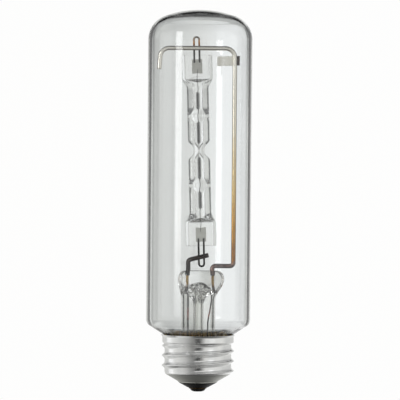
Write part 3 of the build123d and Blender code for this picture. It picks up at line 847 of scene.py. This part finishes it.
for side, x in (("frame", FRAME_FOOT_X), ("cross", CROSS_LEAD_X)):
    seal_corners = [(x, 0, LEAD_TOP), (x, 0, EMBEDDED_Z)]
    add_piece(f"{side}_seal_wire_clad", [wire(seal_corners, [], SEAL_RADIUS, 16)], SEAL_WIRE,
              [f"{side}_seal_wire"])

contact_corners = [
    (FRAME_FOOT_X, 0, LEAD_TOP), (FRAME_FOOT_X, 0, LEAD_TOP - CONTACT_LEAD_STRAIGHT),
    (CONTACT_LEAD_X, 0, LEAD_TOP - CONTACT_LEAD_SLANT_END), (CONTACT_LEAD_X, 0, LEAD_TURN),
    (0, 0, EYELET_TOP + 0.9), (0, 0, CONTACT_LEAD_END),
]
add_piece("contact_lead_wire", [wire(contact_corners, [LEAD_BEND] * 4, CONTACT_LEAD_RADIUS, 12)], LEAD_WIRE,
          ["contact_lead"])

shell_corners = [
    (CROSS_LEAD_X, 0, LEAD_TOP), (CROSS_LEAD_X, 0, LEAD_TURN), at_solder(SHELL_LEAD_REACH, LEAD_TURN),
    at_solder(SHELL_LEAD_REACH, SOLDER_Z), at_solder(SHELL_LEAD_END, SOLDER_Z),
]
shell_lead = wire(shell_corners, [LEAD_BEND] * 3, SHELL_LEAD_RADIUS, 12, front=(1, 0.17, 0))
add_piece("shell_lead_wire", [shell_lead], LEAD_WIRE, ["shell_lead"])

# %% [markdown]
# The getter strip
#
# A short strip of rolled metal hooks round the frame wire and curves in behind it. It soaks up stray gas.
# A plane with Solidify would do, but a flat section carried along its plan line also rounds the edges a
# little and tilts the strip as it goes.

# %% Getter strip
STRIP_HALF_HEIGHT = 1.75
STRIP_HALF_THICKNESS = 0.125
STRIP_MIDDLE = CROSSBAR_Z - 4.5
STRIP_END_X = node_low("getter_strip")[0] + STRIP_HALF_THICKNESS
STRIP_REACH = FRAME_RADIUS + 0.02 + STRIP_HALF_THICKNESS
STRIP_TAB = 0.75
STRIP_CURVE_IN = 1.0
STRIP_TILT = 0.12
STRIP_LENGTH = 6.5


def strip_rings():
    """Rings of the strip: at each point of its plan line a rounded rectangle, thickness along the line's
    normal n and height along Z, from powers of cos and sin."""
    front_x, back_y = FRAME_SIDE_X + STRIP_REACH, FRAME_Y + STRIP_REACH
    line = rounded_line([
        (front_x + STRIP_TAB, FRAME_Y - 0.5), (front_x, FRAME_Y - 0.2), (front_x, back_y),
        (FRAME_SIDE_X - 2.0, back_y), (STRIP_END_X, back_y + STRIP_CURVE_IN),
    ], [0.3, 0.7, 4.0], step=0.15)
    tangent = np.gradient(line, axis=0)
    tangent /= np.linalg.norm(tangent, axis=1, keepdims=True)
    normal = np.stack([-tangent[:, 1], tangent[:, 0]], axis=-1)
    turn = full_turn(48)
    thick = STRIP_HALF_THICKNESS * corner_power(np.cos(turn), 0.5)
    tall = STRIP_HALF_HEIGHT * corner_power(np.sin(turn), 0.12)
    plan = line[:, None] + normal[:, None] * thick[None, :, None]
    tilt = STRIP_TILT * (line[:, :1] - FRAME_SIDE_X) / STRIP_LENGTH
    return np.concatenate([plan, (STRIP_MIDDLE + tilt + tall[None])[..., None]], axis=-1)


add_piece("getter_strip_rolled", [skin(strip_rings())], GETTER_METAL, ["getter_strip"])

# %% [markdown]
# Foils and hairpins
#
# Each press seal holds a thin foil, because only a foil follows the quartz as it cools. A hairpin of stiff
# wire is welded to its outer end and carries the burner. A cube flattened in edit mode could stand for the
# foil, but a lens-shaped section gives it the feathered edges of etched foil.

# %% Hairpins and foils
HAIRPIN_RADIUS = 0.35
HAIRPIN_HALF = 0.95
HAIRPIN_Y = -0.19
HAIRPIN_LAP = 1.2
FOIL_HALF_WIDTH = 1.9
FOIL_HALF_LENGTH = 2.4
FOIL_HALF_THICKNESS = 0.03
FOIL_INSET = 1.5
FOIL_Y = 0.14
UPPER_REACH = 7.0
LOWER_REACH = 7.85


def hairpin(end, reach):
    """Skin of a hairpin on the burner's axis: two legs and a half circle, moved into the lamp."""
    inner = end * (BURNER_HALF - FOIL_INSET - HAIRPIN_LAP)
    outer = end * (BURNER_HALF + reach - HAIRPIN_RADIUS)
    corners = [(-HAIRPIN_HALF, HAIRPIN_Y, inner), (-HAIRPIN_HALF, HAIRPIN_Y, outer),
               (HAIRPIN_HALF, HAIRPIN_Y, outer), (HAIRPIN_HALF, HAIRPIN_Y, inner)]
    corners = [burner_place(np.array(corner)) for corner in corners]
    return wire(corners, [HAIRPIN_HALF - 0.01] * 2, HAIRPIN_RADIUS, 16)


def foil_rings(end):
    """Rings of a foil: across, a thin lens that feathers out at the edges; along, faint ripples a sin(b z)
    and two small torn feet at the inner corners."""
    middle = end * (BURNER_HALF - FOIL_INSET - FOIL_HALF_LENGTH)
    height = np.linspace(-FOIL_HALF_LENGTH, FOIL_HALF_LENGTH, 64)[:, None]
    turn = full_turn(48)[None]
    edge = 1 + 0.015 * np.sin(3.1 * height) + 0.01 * np.sin(7.7 * height + 1)
    x = FOIL_HALF_WIDTH * edge * corner_power(np.cos(turn), 0.7)
    inner = smooth_step(-FOIL_HALF_LENGTH + 0.5, -FOIL_HALF_LENGTH, height * end)
    z = height - end * 0.4 * inner * smooth_step(0.55, 0.8, np.abs(x) / FOIL_HALF_WIDTH)
    ripple = 0.025 * np.sin(2.6 * height + 0.8 * x) + 0.02 * np.sin(1.7 * x)
    y = FOIL_Y + ripple + FOIL_HALF_THICKNESS * np.sin(turn)
    return burner_place(np.stack([x, y, z + middle], axis=-1))


for end, word, reach in ((1, "upper", UPPER_REACH), (-1, "lower", LOWER_REACH)):
    add_piece(f"{word}_hairpin_wire", [hairpin(end, reach)], HAIRPIN_WIRE,
              [f"{word}_hairpin"])
    add_piece(f"{word}_foil_sheet", [skin(foil_rings(end))], MOLYBDENUM_FOIL,
              [f"{word}_foil"])

# %% [markdown]
# The filament
#
# The filament has four coiled stretches, hung at the crimps, and a straight tail to each foil. The solids
# keep it plain. Here the coil is a real helix of fine wire, with the radius easing in and out at the ends
# of each stretch. Its turns are coarser than real ones, which would be too fine to show.

# %% Filament
COIL_RADIUS = 0.46
COIL_PITCH = 0.4
COIL_EASE = 0.25
COIL_GAP = 2.6
END_COIL = 5.8
FILAMENT_RADIUS = 0.11
TAIL_END = BURNER_HALF - FOIL_INSET - 2 * FOIL_HALF_LENGTH + 1.2
POINTS_PER_TURN = 14


def filament_rings():
    """Rings along the filament: a helix R(z) (cos p, sin p, z) on the burner's axis, whose radius R is the
    coil's inside four stretches and eases to nothing between them. The rings' front is (cos p, sin p, 0)."""
    end_start = CRIMP_SPACING + COIL_GAP
    stretches = [(COIL_GAP, CRIMP_SPACING - COIL_GAP), (end_start, end_start + END_COIL)]
    height = np.arange(-TAIL_END, TAIL_END, COIL_PITCH / POINTS_PER_TURN)
    level = np.abs(height)
    coiled = sum(smooth_step(low - COIL_EASE, low + COIL_EASE, level)
                 * smooth_step(high + COIL_EASE, high - COIL_EASE, level) for low, high in stretches)
    phase = 2 * np.pi * height / COIL_PITCH
    sag = 0.12 * np.sin(height * 0.9)
    path = burner_place(np.stack([COIL_RADIUS * coiled * np.cos(phase) + sag * (1 - coiled),
                                  COIL_RADIUS * coiled * np.sin(phase), height], axis=-1))
    front = np.stack([np.cos(phase), np.sin(phase), 0 * phase], axis=-1)
    return wire_rings(path, FILAMENT_RADIUS, 7, front)


add_piece("filament_coiled", [skin(filament_rings())], TUNGSTEN, ["filament"], crease=80)

# %% [markdown]
# Welds
#
# Where wires cross, they are spot welded, and a little metal runs out. Small beads sit at the crossings: a
# ball flattened between the two wires, with a wavy surface so that no two look alike. A sculpted ball
# would do for one, but a formula makes all five.

# %% Weld beads


def bead_rings(centre, sizes, seed, sides=28):
    """Rings of a bead: a ball of half axes (a, b, c), its radius waved by up to 13 % of two slow sines."""
    tilt = np.linspace(0.06, np.pi - 0.06, 18)[:, None]
    turn = full_turn(sides)[None]
    wave = 1 + 0.08 * np.sin(3 * turn + seed) * np.sin(2 * tilt + 2 * seed) + 0.05 * np.sin(5 * turn - seed)
    x = sizes[0] * wave * np.sin(tilt) * np.cos(turn)
    y = sizes[1] * wave * np.sin(tilt) * np.sin(turn)
    z = sizes[2] * wave * np.cos(tilt) + 0 * turn
    return np.array(centre) + np.stack([x, y, z], axis=-1)


def leg_xs(level):
    """Where both legs of a hairpin stand, left and right, at a level on the burner's axis."""
    return [burner_place(np.array((side * HAIRPIN_HALF, 0.0, level)))[0] for side in (-1, 1)]


crossbar_beads = []
for seed, x in enumerate(leg_xs(BURNER_HALF + 2.5)):
    spot = (x + 0.1, FRAME_Y + 0.62, CROSSBAR_Z - 0.05 * seed)
    crossbar_beads.append(skin(bead_rings(spot, (0.62, 0.3, 0.5), seed)))
strip_spot = (FRAME_SIDE_X - 0.55, FRAME_Y + 0.55, STRIP_MIDDLE - 0.6)
crossbar_beads.append(skin(bead_rings(strip_spot, (0.4, 0.3, 0.4), 5)))
cross_beads = []
for seed, x in enumerate(leg_xs(-BURNER_HALF - CROSSING_DROP), start=2):
    spot = (x, CROSS_Y + 0.6, crossing_z + CROSS_SLOPE * (x - crossing_x))
    cross_beads.append(skin(bead_rings(spot, (0.5, 0.3, 0.45), seed)))
add_piece("crossbar_welds", crossbar_beads, NICKEL_WIRE)
add_piece("cross_lead_welds", cross_beads, SCORCHED_WIRE)

# %% [markdown]
# Finishes of the cap
#
# The shell is bright aluminium with rolling marks round it, and satin on its cone. The insulator is black
# glass, the eyelet plate is brass gone dark, and its tip is dull solder. Baked cement fills the gap round
# the neck. Each could be one flat colour, but small spots and marks keep them from looking like plastic.

# %% Cap finishes
SATIN_LOW = 6.2
SATIN_HIGH = 6.9
SATIN_ROUGHNESS = 0.17


def rolled_aluminium():
    """Rolled aluminium: bright with fine lines round the axis; on the cone below it satin, with painted
    shade.
    """
    finish, tree, shader, place = new_finish("rolled aluminium")
    split = add_node(tree, "SeparateXYZ", {"Vector": place})
    # Share of the cone: it sets the satin roughness there, and the painted shade of its darker colour.
    satin_and_shade = add_node(tree, "MapRange", {
        "Value": split.outputs["Z"], "From Min": SATIN_HIGH * MM, "From Max": SATIN_LOW * MM,
    }, interpolation_type="SMOOTHSTEP")
    squeezed = add_node(tree, "Mapping", {"Vector": place, "Scale": (0.12, 0.12, 1)})
    lines = add_node(tree, "TexNoise", {
        "Vector": squeezed.outputs["Vector"], "Scale": per_mm(0.3), "Detail": 6.0,
    })
    smears = add_node(tree, "TexNoise", {"Vector": place, "Scale": per_mm(4), "Detail": 3.0})
    bright = add_node(tree, "ValToRGB", {"Fac": smears.outputs["Fac"]})
    set_stops(bright, [(0.3, "#e4e5e5"), (0.7, "#f0f0ef")])
    # Painted shade: the cone's darker colour stands in for the shade that it takes.
    tone_with_painted_shade = add_node(tree, "MixRGB", {
        "Fac": satin_and_shade.outputs["Result"], "Color1": bright.outputs["Color"], "Color2": linear("#b4b5b0"),
    })
    rough = add_node(tree, "MapRange", {
        "Value": lines.outputs["Fac"], "From Min": 0.25, "From Max": 0.75, "To Min": 0.15, "To Max": 0.23,
    })
    matt = add_node(tree, "Math", {
        0: satin_and_shade.outputs["Result"], 1: SATIN_ROUGHNESS, 2: rough.outputs["Result"],
    }, operation="MULTIPLY_ADD")
    bump = add_node(tree, "Bump", {"Height": lines.outputs["Fac"], "Distance": 0.004 * MM, "Strength": 0.6})
    tree.links.new(tone_with_painted_shade.outputs["Color"], shader.inputs["Base Color"])
    tree.links.new(matt.outputs["Value"], shader.inputs["Roughness"])
    tree.links.new(bump.outputs["Normal"], shader.inputs["Normal"])
    shader.inputs["Metallic"].default_value = 1.0
    return finish


def mottled_finish(name, stops, spot_mm, rough, bump_mm, metallic=0.0, shine=0.5):
    """A mottled solid: a ramp of colours over noise of one spot size, with matching bumps and roughness."""
    finish, tree, shader, place = new_finish(name)
    spots = add_node(tree, "TexNoise", {
        "Vector": place, "Scale": per_mm(spot_mm), "Detail": 6.0, "Roughness": 0.6,
    })
    ramp = add_node(tree, "ValToRGB", {"Fac": spots.outputs["Fac"]})
    roughness = add_node(tree, "MapRange", {
        "Value": spots.outputs["Fac"], "From Min": 0.3, "From Max": 0.7,
        "To Min": rough * 0.8, "To Max": rough * 1.2,
    })
    bump = add_node(tree, "Bump", {
        "Height": spots.outputs["Fac"], "Distance": bump_mm * MM, "Strength": 0.8,
    })
    tree.links.new(set_stops(ramp, stops), shader.inputs["Base Color"])
    tree.links.new(roughness.outputs["Result"], shader.inputs["Roughness"])
    tree.links.new(bump.outputs["Normal"], shader.inputs["Normal"])
    shader.inputs["Metallic"].default_value = metallic
    shader.inputs["Specular IOR Level"].default_value = shine
    return finish


# Rolled aluminium mirrors the softboxes in soft bands round the thread.
ALUMINIUM = rolled_aluminium()
# Black glass, fused into the shell: deep black with hardly any shine.
BLACK_GLASS = mottled_finish("black insulating glass", [(0.3, "#060606"), (0.7, "#0e0e0d")], 1.5, 0.35, 0.02,
                             shine=0.05)
# Brass that tarnished in the oven: a brown metal sheen.
TARNISHED_BRASS = mottled_finish("tarnished brass", [(0.3, "#2a2114"), (0.7, "#4a3a22")], 0.8, 0.4, 0.02,
                                 metallic=1.0)
# Solder set in air: dark grey, with a dull gleam.
SOLDER = mottled_finish("dull solder", [(0.3, "#1a1a19"), (0.7, "#2e2e2c")], 0.9, 0.42, 0.05, metallic=1.0)
# Cement baked brown, with gold spots of resin. Little light reaches it, so its colours are strong.
CEMENT = mottled_finish("baked basing cement", [
    (0.36, "#120a04"), (0.45, "#6a4420"), (0.51, "#e0a850"), (0.6, "#ffe6a8"),
], 2.2, 0.8, 0.12)
CAP_FINISHES = (ALUMINIUM, BLACK_GLASS, TARNISHED_BRASS, SOLDER, CEMENT)
print("cap finishes:", *(finish.name for finish in CAP_FINISHES), sep="\n  ")

# %% [markdown]
# The screw shell
#
# The shell is thin metal, rolled to a round thread. Its outside is a turned line, cone, root, collar and
# lip, with the thread added as a bump that climbs one pitch in a turn and fades out at both ends. A Screw
# modifier makes a thread too, but leaves its ends open. The same surface one wall further in closes the
# shell.

# %% Screw shell
THREAD_ROOT = 12.15
THREAD_DEPTH = 1.0
THREAD_PITCH = 3.629
THREAD_START = 0.4
THREAD_SHARPNESS = 3.0
CONE_BORE = 7.0
CONE_RADIUS = 7.15
CONE_TOP = CAP_BOTTOM + 3.2
CONE_EDGE = 0.28
COLLAR_Z = CAP_TOP - 3.2
COLLAR_RADIUS = 13.0
LIP_HEIGHT = 0.75
LIP_FLARE = 0.5
SHELL_WALL = 0.3


def shell_rings(sides=240):
    """Rings of the shell. The radius is the turned line's plus depth * ((1 + cos p) / 2)^s, where the phase
    p = 2 pi (z - start) / pitch - a makes the bump climb with the angle a, and the power s narrows its
    crest. Smooth steps of the height fade it out at the cone and at the collar. The inside is one wall
    less."""
    line = rounded_line([
        (CONE_BORE, CAP_BOTTOM), (CONE_RADIUS, CAP_BOTTOM), (CONE_RADIUS, CAP_BOTTOM + CONE_EDGE),
        (THREAD_ROOT, CONE_TOP), (THREAD_ROOT, COLLAR_Z - 0.2), (COLLAR_RADIUS, COLLAR_Z + 0.5),
        (COLLAR_RADIUS, CAP_TOP - LIP_HEIGHT), (COLLAR_RADIUS + LIP_FLARE, CAP_TOP),
    ], [0.08, 0.08, 1.6, 0.35, 0.35, 0.5], step=0.17)
    angle = full_turn(sides)[None]
    height = line[:, 1:]
    phase = 2 * np.pi * (height - THREAD_START) / THREAD_PITCH - angle
    fade = smooth_step(CONE_TOP - 0.6, CONE_TOP + 1.1, height)
    fade = fade * smooth_step(COLLAR_Z + 0.5, COLLAR_Z - 1.0, height)
    bump = THREAD_DEPTH * fade * ((1 + np.cos(phase)) / 2) ** THREAD_SHARPNESS
    outside = line[:, :1] + bump
    inside = outside - SHELL_WALL
    radius = np.vstack([outside, inside[::-1]])
    level = np.vstack([height, height[::-1]])
    return np.stack([radius * np.cos(angle), radius * np.sin(angle), level + 0 * angle], axis=-1)


add_piece("screw_shell_rolled", [skin(shell_rings(), loop=True)], ALUMINIUM,
          ["screw_shell"], crease=50)

# %% [markdown]
# Insulator and contact
#
# Black glass is poured into the end of the shell round a brass eyelet, and a drop of solder on the eyelet
# holds the lead and makes the contact. They are lathe shapes, so a line is turned for each. A second drop
# joins the other lead to the shell's collar, at the back.

# %% Insulator, contact plate and solder
EYELET_RADIUS = 1.1
EYELET_BORE = 0.75
INSULATOR_Z = node_low("insulator")[2]
INSULATOR_TOP = node_high("insulator")[2]
INSULATOR_FACE = 3.7
INSULATOR_EDGE = 6.9
INSULATOR_NECK = 6.62
INSULATOR_RADIUS = 11.0
PLATE_Z = node_low("contact_plate")[2]
PLATE_RADIUS = 3.3
SOLDER_FLAT = 1.2
SOLDER_SPREAD = 1.6
SOLDER_SEAT = 13.05

insulator_line = rounded_line([
    (EYELET_RADIUS, INSULATOR_Z + 0.1), (INSULATOR_FACE, INSULATOR_Z), (INSULATOR_EDGE, CAP_BOTTOM - 0.15),
    (INSULATOR_NECK, CAP_BOTTOM), (INSULATOR_RADIUS, INSULATOR_TOP), (EYELET_RADIUS, INSULATOR_TOP),
    (EYELET_RADIUS, INSULATOR_Z + 0.3),
], [0.4, 0.12, 0.1, 0.3, 0.2], step=0.4)
add_piece("insulator_glass", [skin(turned_rings(insulator_line, 128), loop=True)], BLACK_GLASS,
          ["insulator"])

eyelet_side = EYELET_RADIUS - 0.01
plate_line = rounded_line([
    (EYELET_BORE, PLATE_Z), (PLATE_RADIUS, PLATE_Z), (PLATE_RADIUS, INSULATOR_Z), (eyelet_side, INSULATOR_Z),
    (eyelet_side, EYELET_TOP), (EYELET_BORE, EYELET_TOP), (EYELET_BORE, PLATE_Z + 0.2),
], [0.15, 0.1, 0.05, 0.1, 0.1], step=0.4)
add_piece("contact_plate_brass", [skin(turned_rings(plate_line, 96), loop=True)], TARNISHED_BRASS,
          ["contact_plate"])


def solder_rings(sides=72):
    """Rings of the solder dome: a flat tip, a quarter ellipse up to the plate and a plug in the eyelet, with
    3 % of slow waves round the dome as the drop set."""
    rise = np.linspace(0, np.pi / 2, 20)[1:]
    radius = np.concatenate([[0.03, 0.6, SOLDER_FLAT], SOLDER_FLAT + SOLDER_SPREAD * np.sin(rise),
                             [0.8, 0.74, 0.74, 0.03]])
    level = np.concatenate([[0, 0, 0], PLATE_Z * (1 - np.cos(rise)), [PLATE_Z, PLATE_Z + 0.2, 2.0, 2.1]])
    rings = turned_rings(np.stack([radius, level], axis=-1), sides)
    turn = full_turn(sides)[None, :, None]
    swell = smooth_step(1.0, 2.0, radius)[:, None, None]
    wave = 1 + swell * (0.02 * np.sin(3 * turn + 0.7) + 0.012 * np.sin(7 * turn))
    return rings * np.concatenate([wave, wave, np.ones_like(wave)], axis=-1)


add_piece("contact_solder_dome", [skin(solder_rings())], SOLDER, ["contact_solder"])
side_drop = bead_rings(at_solder(SOLDER_SEAT, SOLDER_Z), (1.0, 0.45, 1.0), 3)
add_piece("side_solder_drop", [skin(side_drop)], SOLDER, ["side_solder"])

# %% [markdown]
# The cement
#
# A ring of brown cement holds the glass neck in the shell. It is squeezed up to just below the rim, which
# is where it shows. A simple tube would fill the gap, but the ring's top slopes in under the shoulder, so
# light reaches it through the glass.

# %% Basing cement
CEMENT_INNER = NECK_RADIUS + 0.04
CEMENT_LOW_OUTER = 11.78
CEMENT_OUTER = 12.63
CEMENT_RIM = 12.2
CEMENT_FOOT = BULB_BOTTOM + 1.0
cement_line = rounded_line([
    (CEMENT_INNER, CEMENT_FOOT), (CEMENT_LOW_OUTER, CEMENT_FOOT), (CEMENT_LOW_OUTER, COLLAR_Z + 0.1),
    (CEMENT_OUTER, COLLAR_Z + 0.8), (CEMENT_OUTER, CAP_TOP - 0.5), (CEMENT_RIM, CAP_TOP - 0.32),
    (NECK_RADIUS + 0.35, CAP_TOP - 1.0), (CEMENT_INNER, CAP_TOP - 2.2), (CEMENT_INNER, BULB_BOTTOM + 1.2),
], [0.1, 0.1, 0.1, 0.1, 0.05, 0.2, 0.5], step=0.5)
add_piece("basing_cement_ring", [skin(turned_rings(cement_line, 160), loop=True)], CEMENT,
          ["basing_cement"])

# %% [markdown]
# Studio panels
#
# Glass is lit by what stands round it, so the light here is a set of glowing panels. A softbox stands at
# the front left, a weaker one at the front right and a reflector at the left. Behind the lamp a white
# backdrop lights the glass, with wings beside it that fade upwards. Dark walls, near strips and a dark
# ceiling draw the glass edges and the band in the dome. Most of these are left out of reflections, so the
# metal stays bright. For the metal there are two more, not seen through the glass: a dark gap below the
# camera, which parts the bands on the thread, and a small card that keeps the key light off the cap. Plain
# area lights would be simpler, but they are even all over, and glass shows every shade.

# %% Helpers for panels


def glow(name, stops, strength, low=-0.5, high=0.5, axis="X"):
    """A soft light with a ramp of colours along an axis, from low to high in metres."""
    finish = bpy.data.materials.new(name)
    finish.use_nodes = True
    tree = finish.node_tree
    tree.nodes.clear()
    place = add_node(tree, "TexCoord").outputs["Object"]
    split = add_node(tree, "SeparateXYZ", {"Vector": place})
    share = add_node(tree, "MapRange", {"Value": split.outputs[axis], "From Min": low, "From Max": high})
    ramp = add_node(tree, "ValToRGB", {"Fac": share.outputs["Result"]})
    light = add_node(tree, "Emission", {"Color": set_stops(ramp, stops), "Strength": strength})
    add_node(tree, "OutputMaterial", {"Surface": light.outputs["Emission"]})
    return finish


def add_panel(name, azimuth, distance, width, bottom, top, finish, glossy=True):
    """An upright panel that faces the lamp's axis, in metres. Azimuth 0 is the camera's side, and positive
    is right. The camera doesn't see it, and with glossy off reflections don't either."""
    turn = math.radians(azimuth)
    centre = np.array([math.sin(turn), -math.cos(turn)]) * distance
    aside = np.array([math.cos(turn), math.sin(turn)]) * width / 2
    left, right = centre - aside, centre + aside
    corners = [(*left, bottom), (*right, bottom), (*right, top), (*left, top)]
    mesh = bpy.data.meshes.new(name)
    mesh.from_pydata(corners, [], [(0, 1, 2, 3)])
    mesh.materials.append(finish)
    panel = bpy.data.objects.new(name, mesh)
    bpy.context.collection.objects.link(panel)
    panel.visible_camera = False
    panel.visible_glossy = glossy
    return panel


print("helpers for panels ready, distances in metres")

# %% Light panels
BEHIND = 180
WING_BOTTOM, WING_TOP = -0.05, 0.225
BACKDROP_TOP = 0.212

# Brighter to the right, as it shows through the bulb.
BACKDROP = glow("white backdrop", [
    (0.0, "#b8b8b5"), (0.08, "#c8c8c5"), (0.25, "#dcdcd9"), (0.38, "#dadad8"), (0.5, "#eeeeec"),
    (0.6, "#ffffff"), (1.0, "#ffffff"),
], 1.0, -0.1, 0.1)
# Pale below and dark towards the dome.
WINGS = glow("fading wings", [
    (0.0, "#dadad7"), (0.545, "#dadad7"), (0.69, "#a4a4a2"), (0.764, "#505050"), (1.0, "#383838"),
], 1.0, WING_BOTTOM, WING_TOP, axis="Z")
# Grey lines just inside the tube's edges, darker towards the dome.
EDGE_STRIPS = glow("grey edge strips", [
    (0.0, "#585856"), (0.29, "#505050"), (0.51, "#464646"), (0.69, "#282828"), (1.0, "#222222"),
], 1.0, WING_BOTTOM, WING_TOP, axis="Z")
# Nearly black, for the outermost edges and the band in the dome.
DARK_SIDES = glow("dark walls", [(0.0, "#1c1c1c"), (1.0, "#141414")], 1.0, -0.1, 0.3, axis="Z")
# A pale rim along the top of the dome.
PALE_TOP = glow("pale top strip", [(0.0, "#b4b4b2"), (1.0, "#c8c8c6")], 1.0, -0.2, 0.2)
# The main light, dimmer towards the floor.
KEY_LIGHT = glow("key softbox", [(0.0, "#959595"), (1.0, "#ffffff")], 4.5, 0.0, 0.06, axis="Z")
# Two weaker lights, even all over.
FILL_LIGHT = glow("fill softbox", [(0.0, "#ffffff"), (1.0, "#ffffff")], 1.2)
SIDE_LIGHT = glow("side reflector", [(0.0, "#ffffff"), (1.0, "#ffffff")], 1.1)
# Black in the middle, with grey shoulders that keep the thread's bands soft.
DARK_GAP = glow("dark camera side", [
    (0.0, "#c8c8c6"), (0.18, "#8a8a88"), (0.36, "#101010"), (0.5, "#020202"), (0.64, "#101010"),
    (0.82, "#8a8a88"), (1.0, "#c8c8c6"),
], 1.0, -0.25, 0.25)
# White at the left, grey towards the middle of the cap.
KEY_CARD = glow("grey card", [(0.0, "#f4f4f2"), (0.5, "#d0d0ce"), (1.0, "#8a8a88")], 1.0, -0.036, -0.009)

# Each panel's azimuth, distance, width, bottom and top.
add_panel("backdrop_panel", BEHIND, 0.35, 0.21, -0.25, BACKDROP_TOP, BACKDROP)
add_panel("key_panel", -48, 0.6, 0.16, 0.0, 0.42, KEY_LIGHT)
add_panel("fill_panel", 46, 0.6, 0.20, 0.0, 0.42, FILL_LIGHT)
add_panel("side_panel", -93, 0.6, 0.6, -0.1, 0.35, SIDE_LIGHT)
for word, side in (("left", 1), ("right", -1)):
    add_panel(f"{word}_wing_panel", BEHIND + 21.5 * side, 0.36, 0.0693, WING_BOTTOM, WING_TOP, WINGS)
    add_panel(f"{word}_strip_panel", BEHIND + 49.4 * side, 0.05, 0.016, WING_BOTTOM, WING_TOP, EDGE_STRIPS,
              glossy=False)
    add_panel(f"{word}_outer_wing_panel", BEHIND + 37.5 * side, 0.36, 0.1334, WING_BOTTOM, WING_TOP, WINGS,
              glossy=False)
    add_panel(f"{word}_dark_panel", BEHIND + 62.5 * side, 0.36, 0.186, -0.1, 0.3, DARK_SIDES, glossy=False)
add_panel("backdrop_top_panel", BEHIND, 0.35, 0.5, BACKDROP_TOP, 0.265, PALE_TOP)
add_panel("low_ceiling_panel", BEHIND, 0.5, 0.7, 0.35, 0.58, DARK_SIDES)
add_panel("dark_ceiling_panel", BEHIND, 0.52, 1.6, 0.2, 1.6, DARK_SIDES, glossy=False)
key_card = add_panel("key_card_panel", -46, 0.03, 0.044, -0.03, 0.0275, KEY_CARD)
key_card.visible_diffuse = False
key_card.visible_transmission = False
key_card.visible_shadow = False
camera_gap = add_panel("camera_gap_panel", 4, 0.7, 0.5, -0.3, 0.045, DARK_GAP)
camera_gap.visible_transmission = False

# %% [markdown]
# Room and floor
#
# What no panel covers is the room: a sky of soft greys, with one ramp for the camera's side and one for
# the far side. The picture itself shows only a white ground. It is a floor that curves up into a wall and
# glows by itself. Only the camera sees it, so it neither lights the lamp nor shows in the glass. A plain
# white background would do from the front, but from other sides the floor gives the lamp a place to stand.

# %% Room
world = bpy.data.worlds.new("studio room")
bpy.context.scene.world = world
world.use_nodes = True
room = world.node_tree
direction = add_node(room, "TexCoord").outputs["Generated"]
toward = add_node(room, "SeparateXYZ", {"Vector": direction})
frontness = add_node(room, "MapRange", {
    "Value": toward.outputs["Y"], "From Min": 0.3, "From Max": -0.2,
}, interpolation_type="SMOOTHSTEP")
room_share = add_node(room, "MapRange", {"Value": toward.outputs["Z"], "From Min": -1.0, "From Max": 1.0})
back_ramp = add_node(room, "ValToRGB", {"Fac": room_share.outputs["Result"]})
back_light = set_stops(back_ramp, [
    (0.0, "#333333"), (0.05, "#3c3c3c"), (0.18, "#b0b0ae"), (0.275, "#e7e7e5"), (0.45, "#dadad8"),
    (0.6, "#cbcbca"), (1.0, "#8a8a8a"),
])
front_ramp = add_node(room, "ValToRGB", {"Fac": room_share.outputs["Result"]})
front_light = set_stops(front_ramp, [
    (0.0, "#333333"), (0.2, "#b0b0ae"), (0.4, "#e7e7e5"), (0.7, "#e7e7e5"), (0.85, "#aaaaaa"),
    (1.0, "#595959"),
])
room_light = add_node(room, "MixRGB", {
    "Fac": frontness.outputs["Result"], "Color1": back_light, "Color2": front_light,
})
room.links.new(room_light.outputs["Color"], room.nodes["Background"].inputs["Color"])
print("room:", len(room.nodes), "nodes")

# %% Floor
FLOOR_REACH = 2.0
FLOOR_CURVE = 2.0
WALL_TOP = 12.0
FLOOR_SIDES = 96


def floor_rings():
    """Rings of the floor, in metres: flat out to its reach, then a quarter circle up into a wall."""
    rise = np.linspace(0, np.pi / 2, 24)[1:]
    radius = np.concatenate([np.linspace(0.02, FLOOR_REACH, 12), FLOOR_REACH + FLOOR_CURVE * np.sin(rise),
                             [FLOOR_REACH + FLOOR_CURVE]])
    level = np.concatenate([np.zeros(12), FLOOR_CURVE * (1 - np.cos(rise)), [WALL_TOP]])
    return turned_rings(np.stack([radius, level], axis=-1), FLOOR_SIDES)


# White with the faintest shade across, as paper has.
FLOOR_WHITE = glow("pale floor", [(0.0, "#fdfdfc"), (1.0, "#fefefe")], 1.0, -2, 2)
floor_mesh = bpy.data.meshes.new("studio_floor")
floor_points, floor_quads, floor_fans = skin(floor_rings())
# The first fan closes the floor's middle. The second would close the wall's top, which stays open.
floor_mesh.from_pydata(floor_points, [], floor_quads.tolist() + floor_fans[:FLOOR_SIDES].tolist())
floor_mesh.materials.append(FLOOR_WHITE)
floor = bpy.data.objects.new("studio_floor", floor_mesh)
bpy.context.collection.objects.link(floor)
floor.visible_diffuse = False
floor.visible_glossy = False
floor.visible_transmission = False
floor.visible_shadow = False
print("floor:", len(floor_mesh.polygons), "faces")

# %% [markdown]
# Camera
#
# The picture is nearly flat, as with a long lens from a metre away. The lens is worked out from the height
# that the picture shows. A small roll tips the lamp as it stands in the picture. Light crosses many glass
# faces here, so the paths are allowed many bounces, or the burner would go black.

# %% Camera
CAMERA_DISTANCE = 1.0
CAMERA_ASIDE = 0.0003
CAMERA_LIFT = 0.26
CAMERA_ROLL = 0.46
PICTURE_HEIGHT = 145.8
camera_data = bpy.data.cameras.new("camera")
camera_data.lens = camera_data.sensor_width * CAMERA_DISTANCE / (PICTURE_HEIGHT * MM)
camera = bpy.data.objects.new("camera", camera_data)
bpy.context.collection.objects.link(camera)
camera.location = (CAMERA_ASIDE, -CAMERA_DISTANCE, (BULB_TOP / 2 + CAMERA_LIFT) * MM)
camera.rotation_euler = (math.radians(90), math.radians(-CAMERA_ROLL), 0)

scene = bpy.context.scene
scene.camera = camera
scene.view_settings.view_transform = "Standard"
scene.cycles.max_bounces = 40
scene.cycles.transmission_bounces = 36
scene.cycles.glossy_bounces = 12
scene.cycles.transparent_max_bounces = 16
print("camera lens", round(camera_data.lens, 1), "mm")
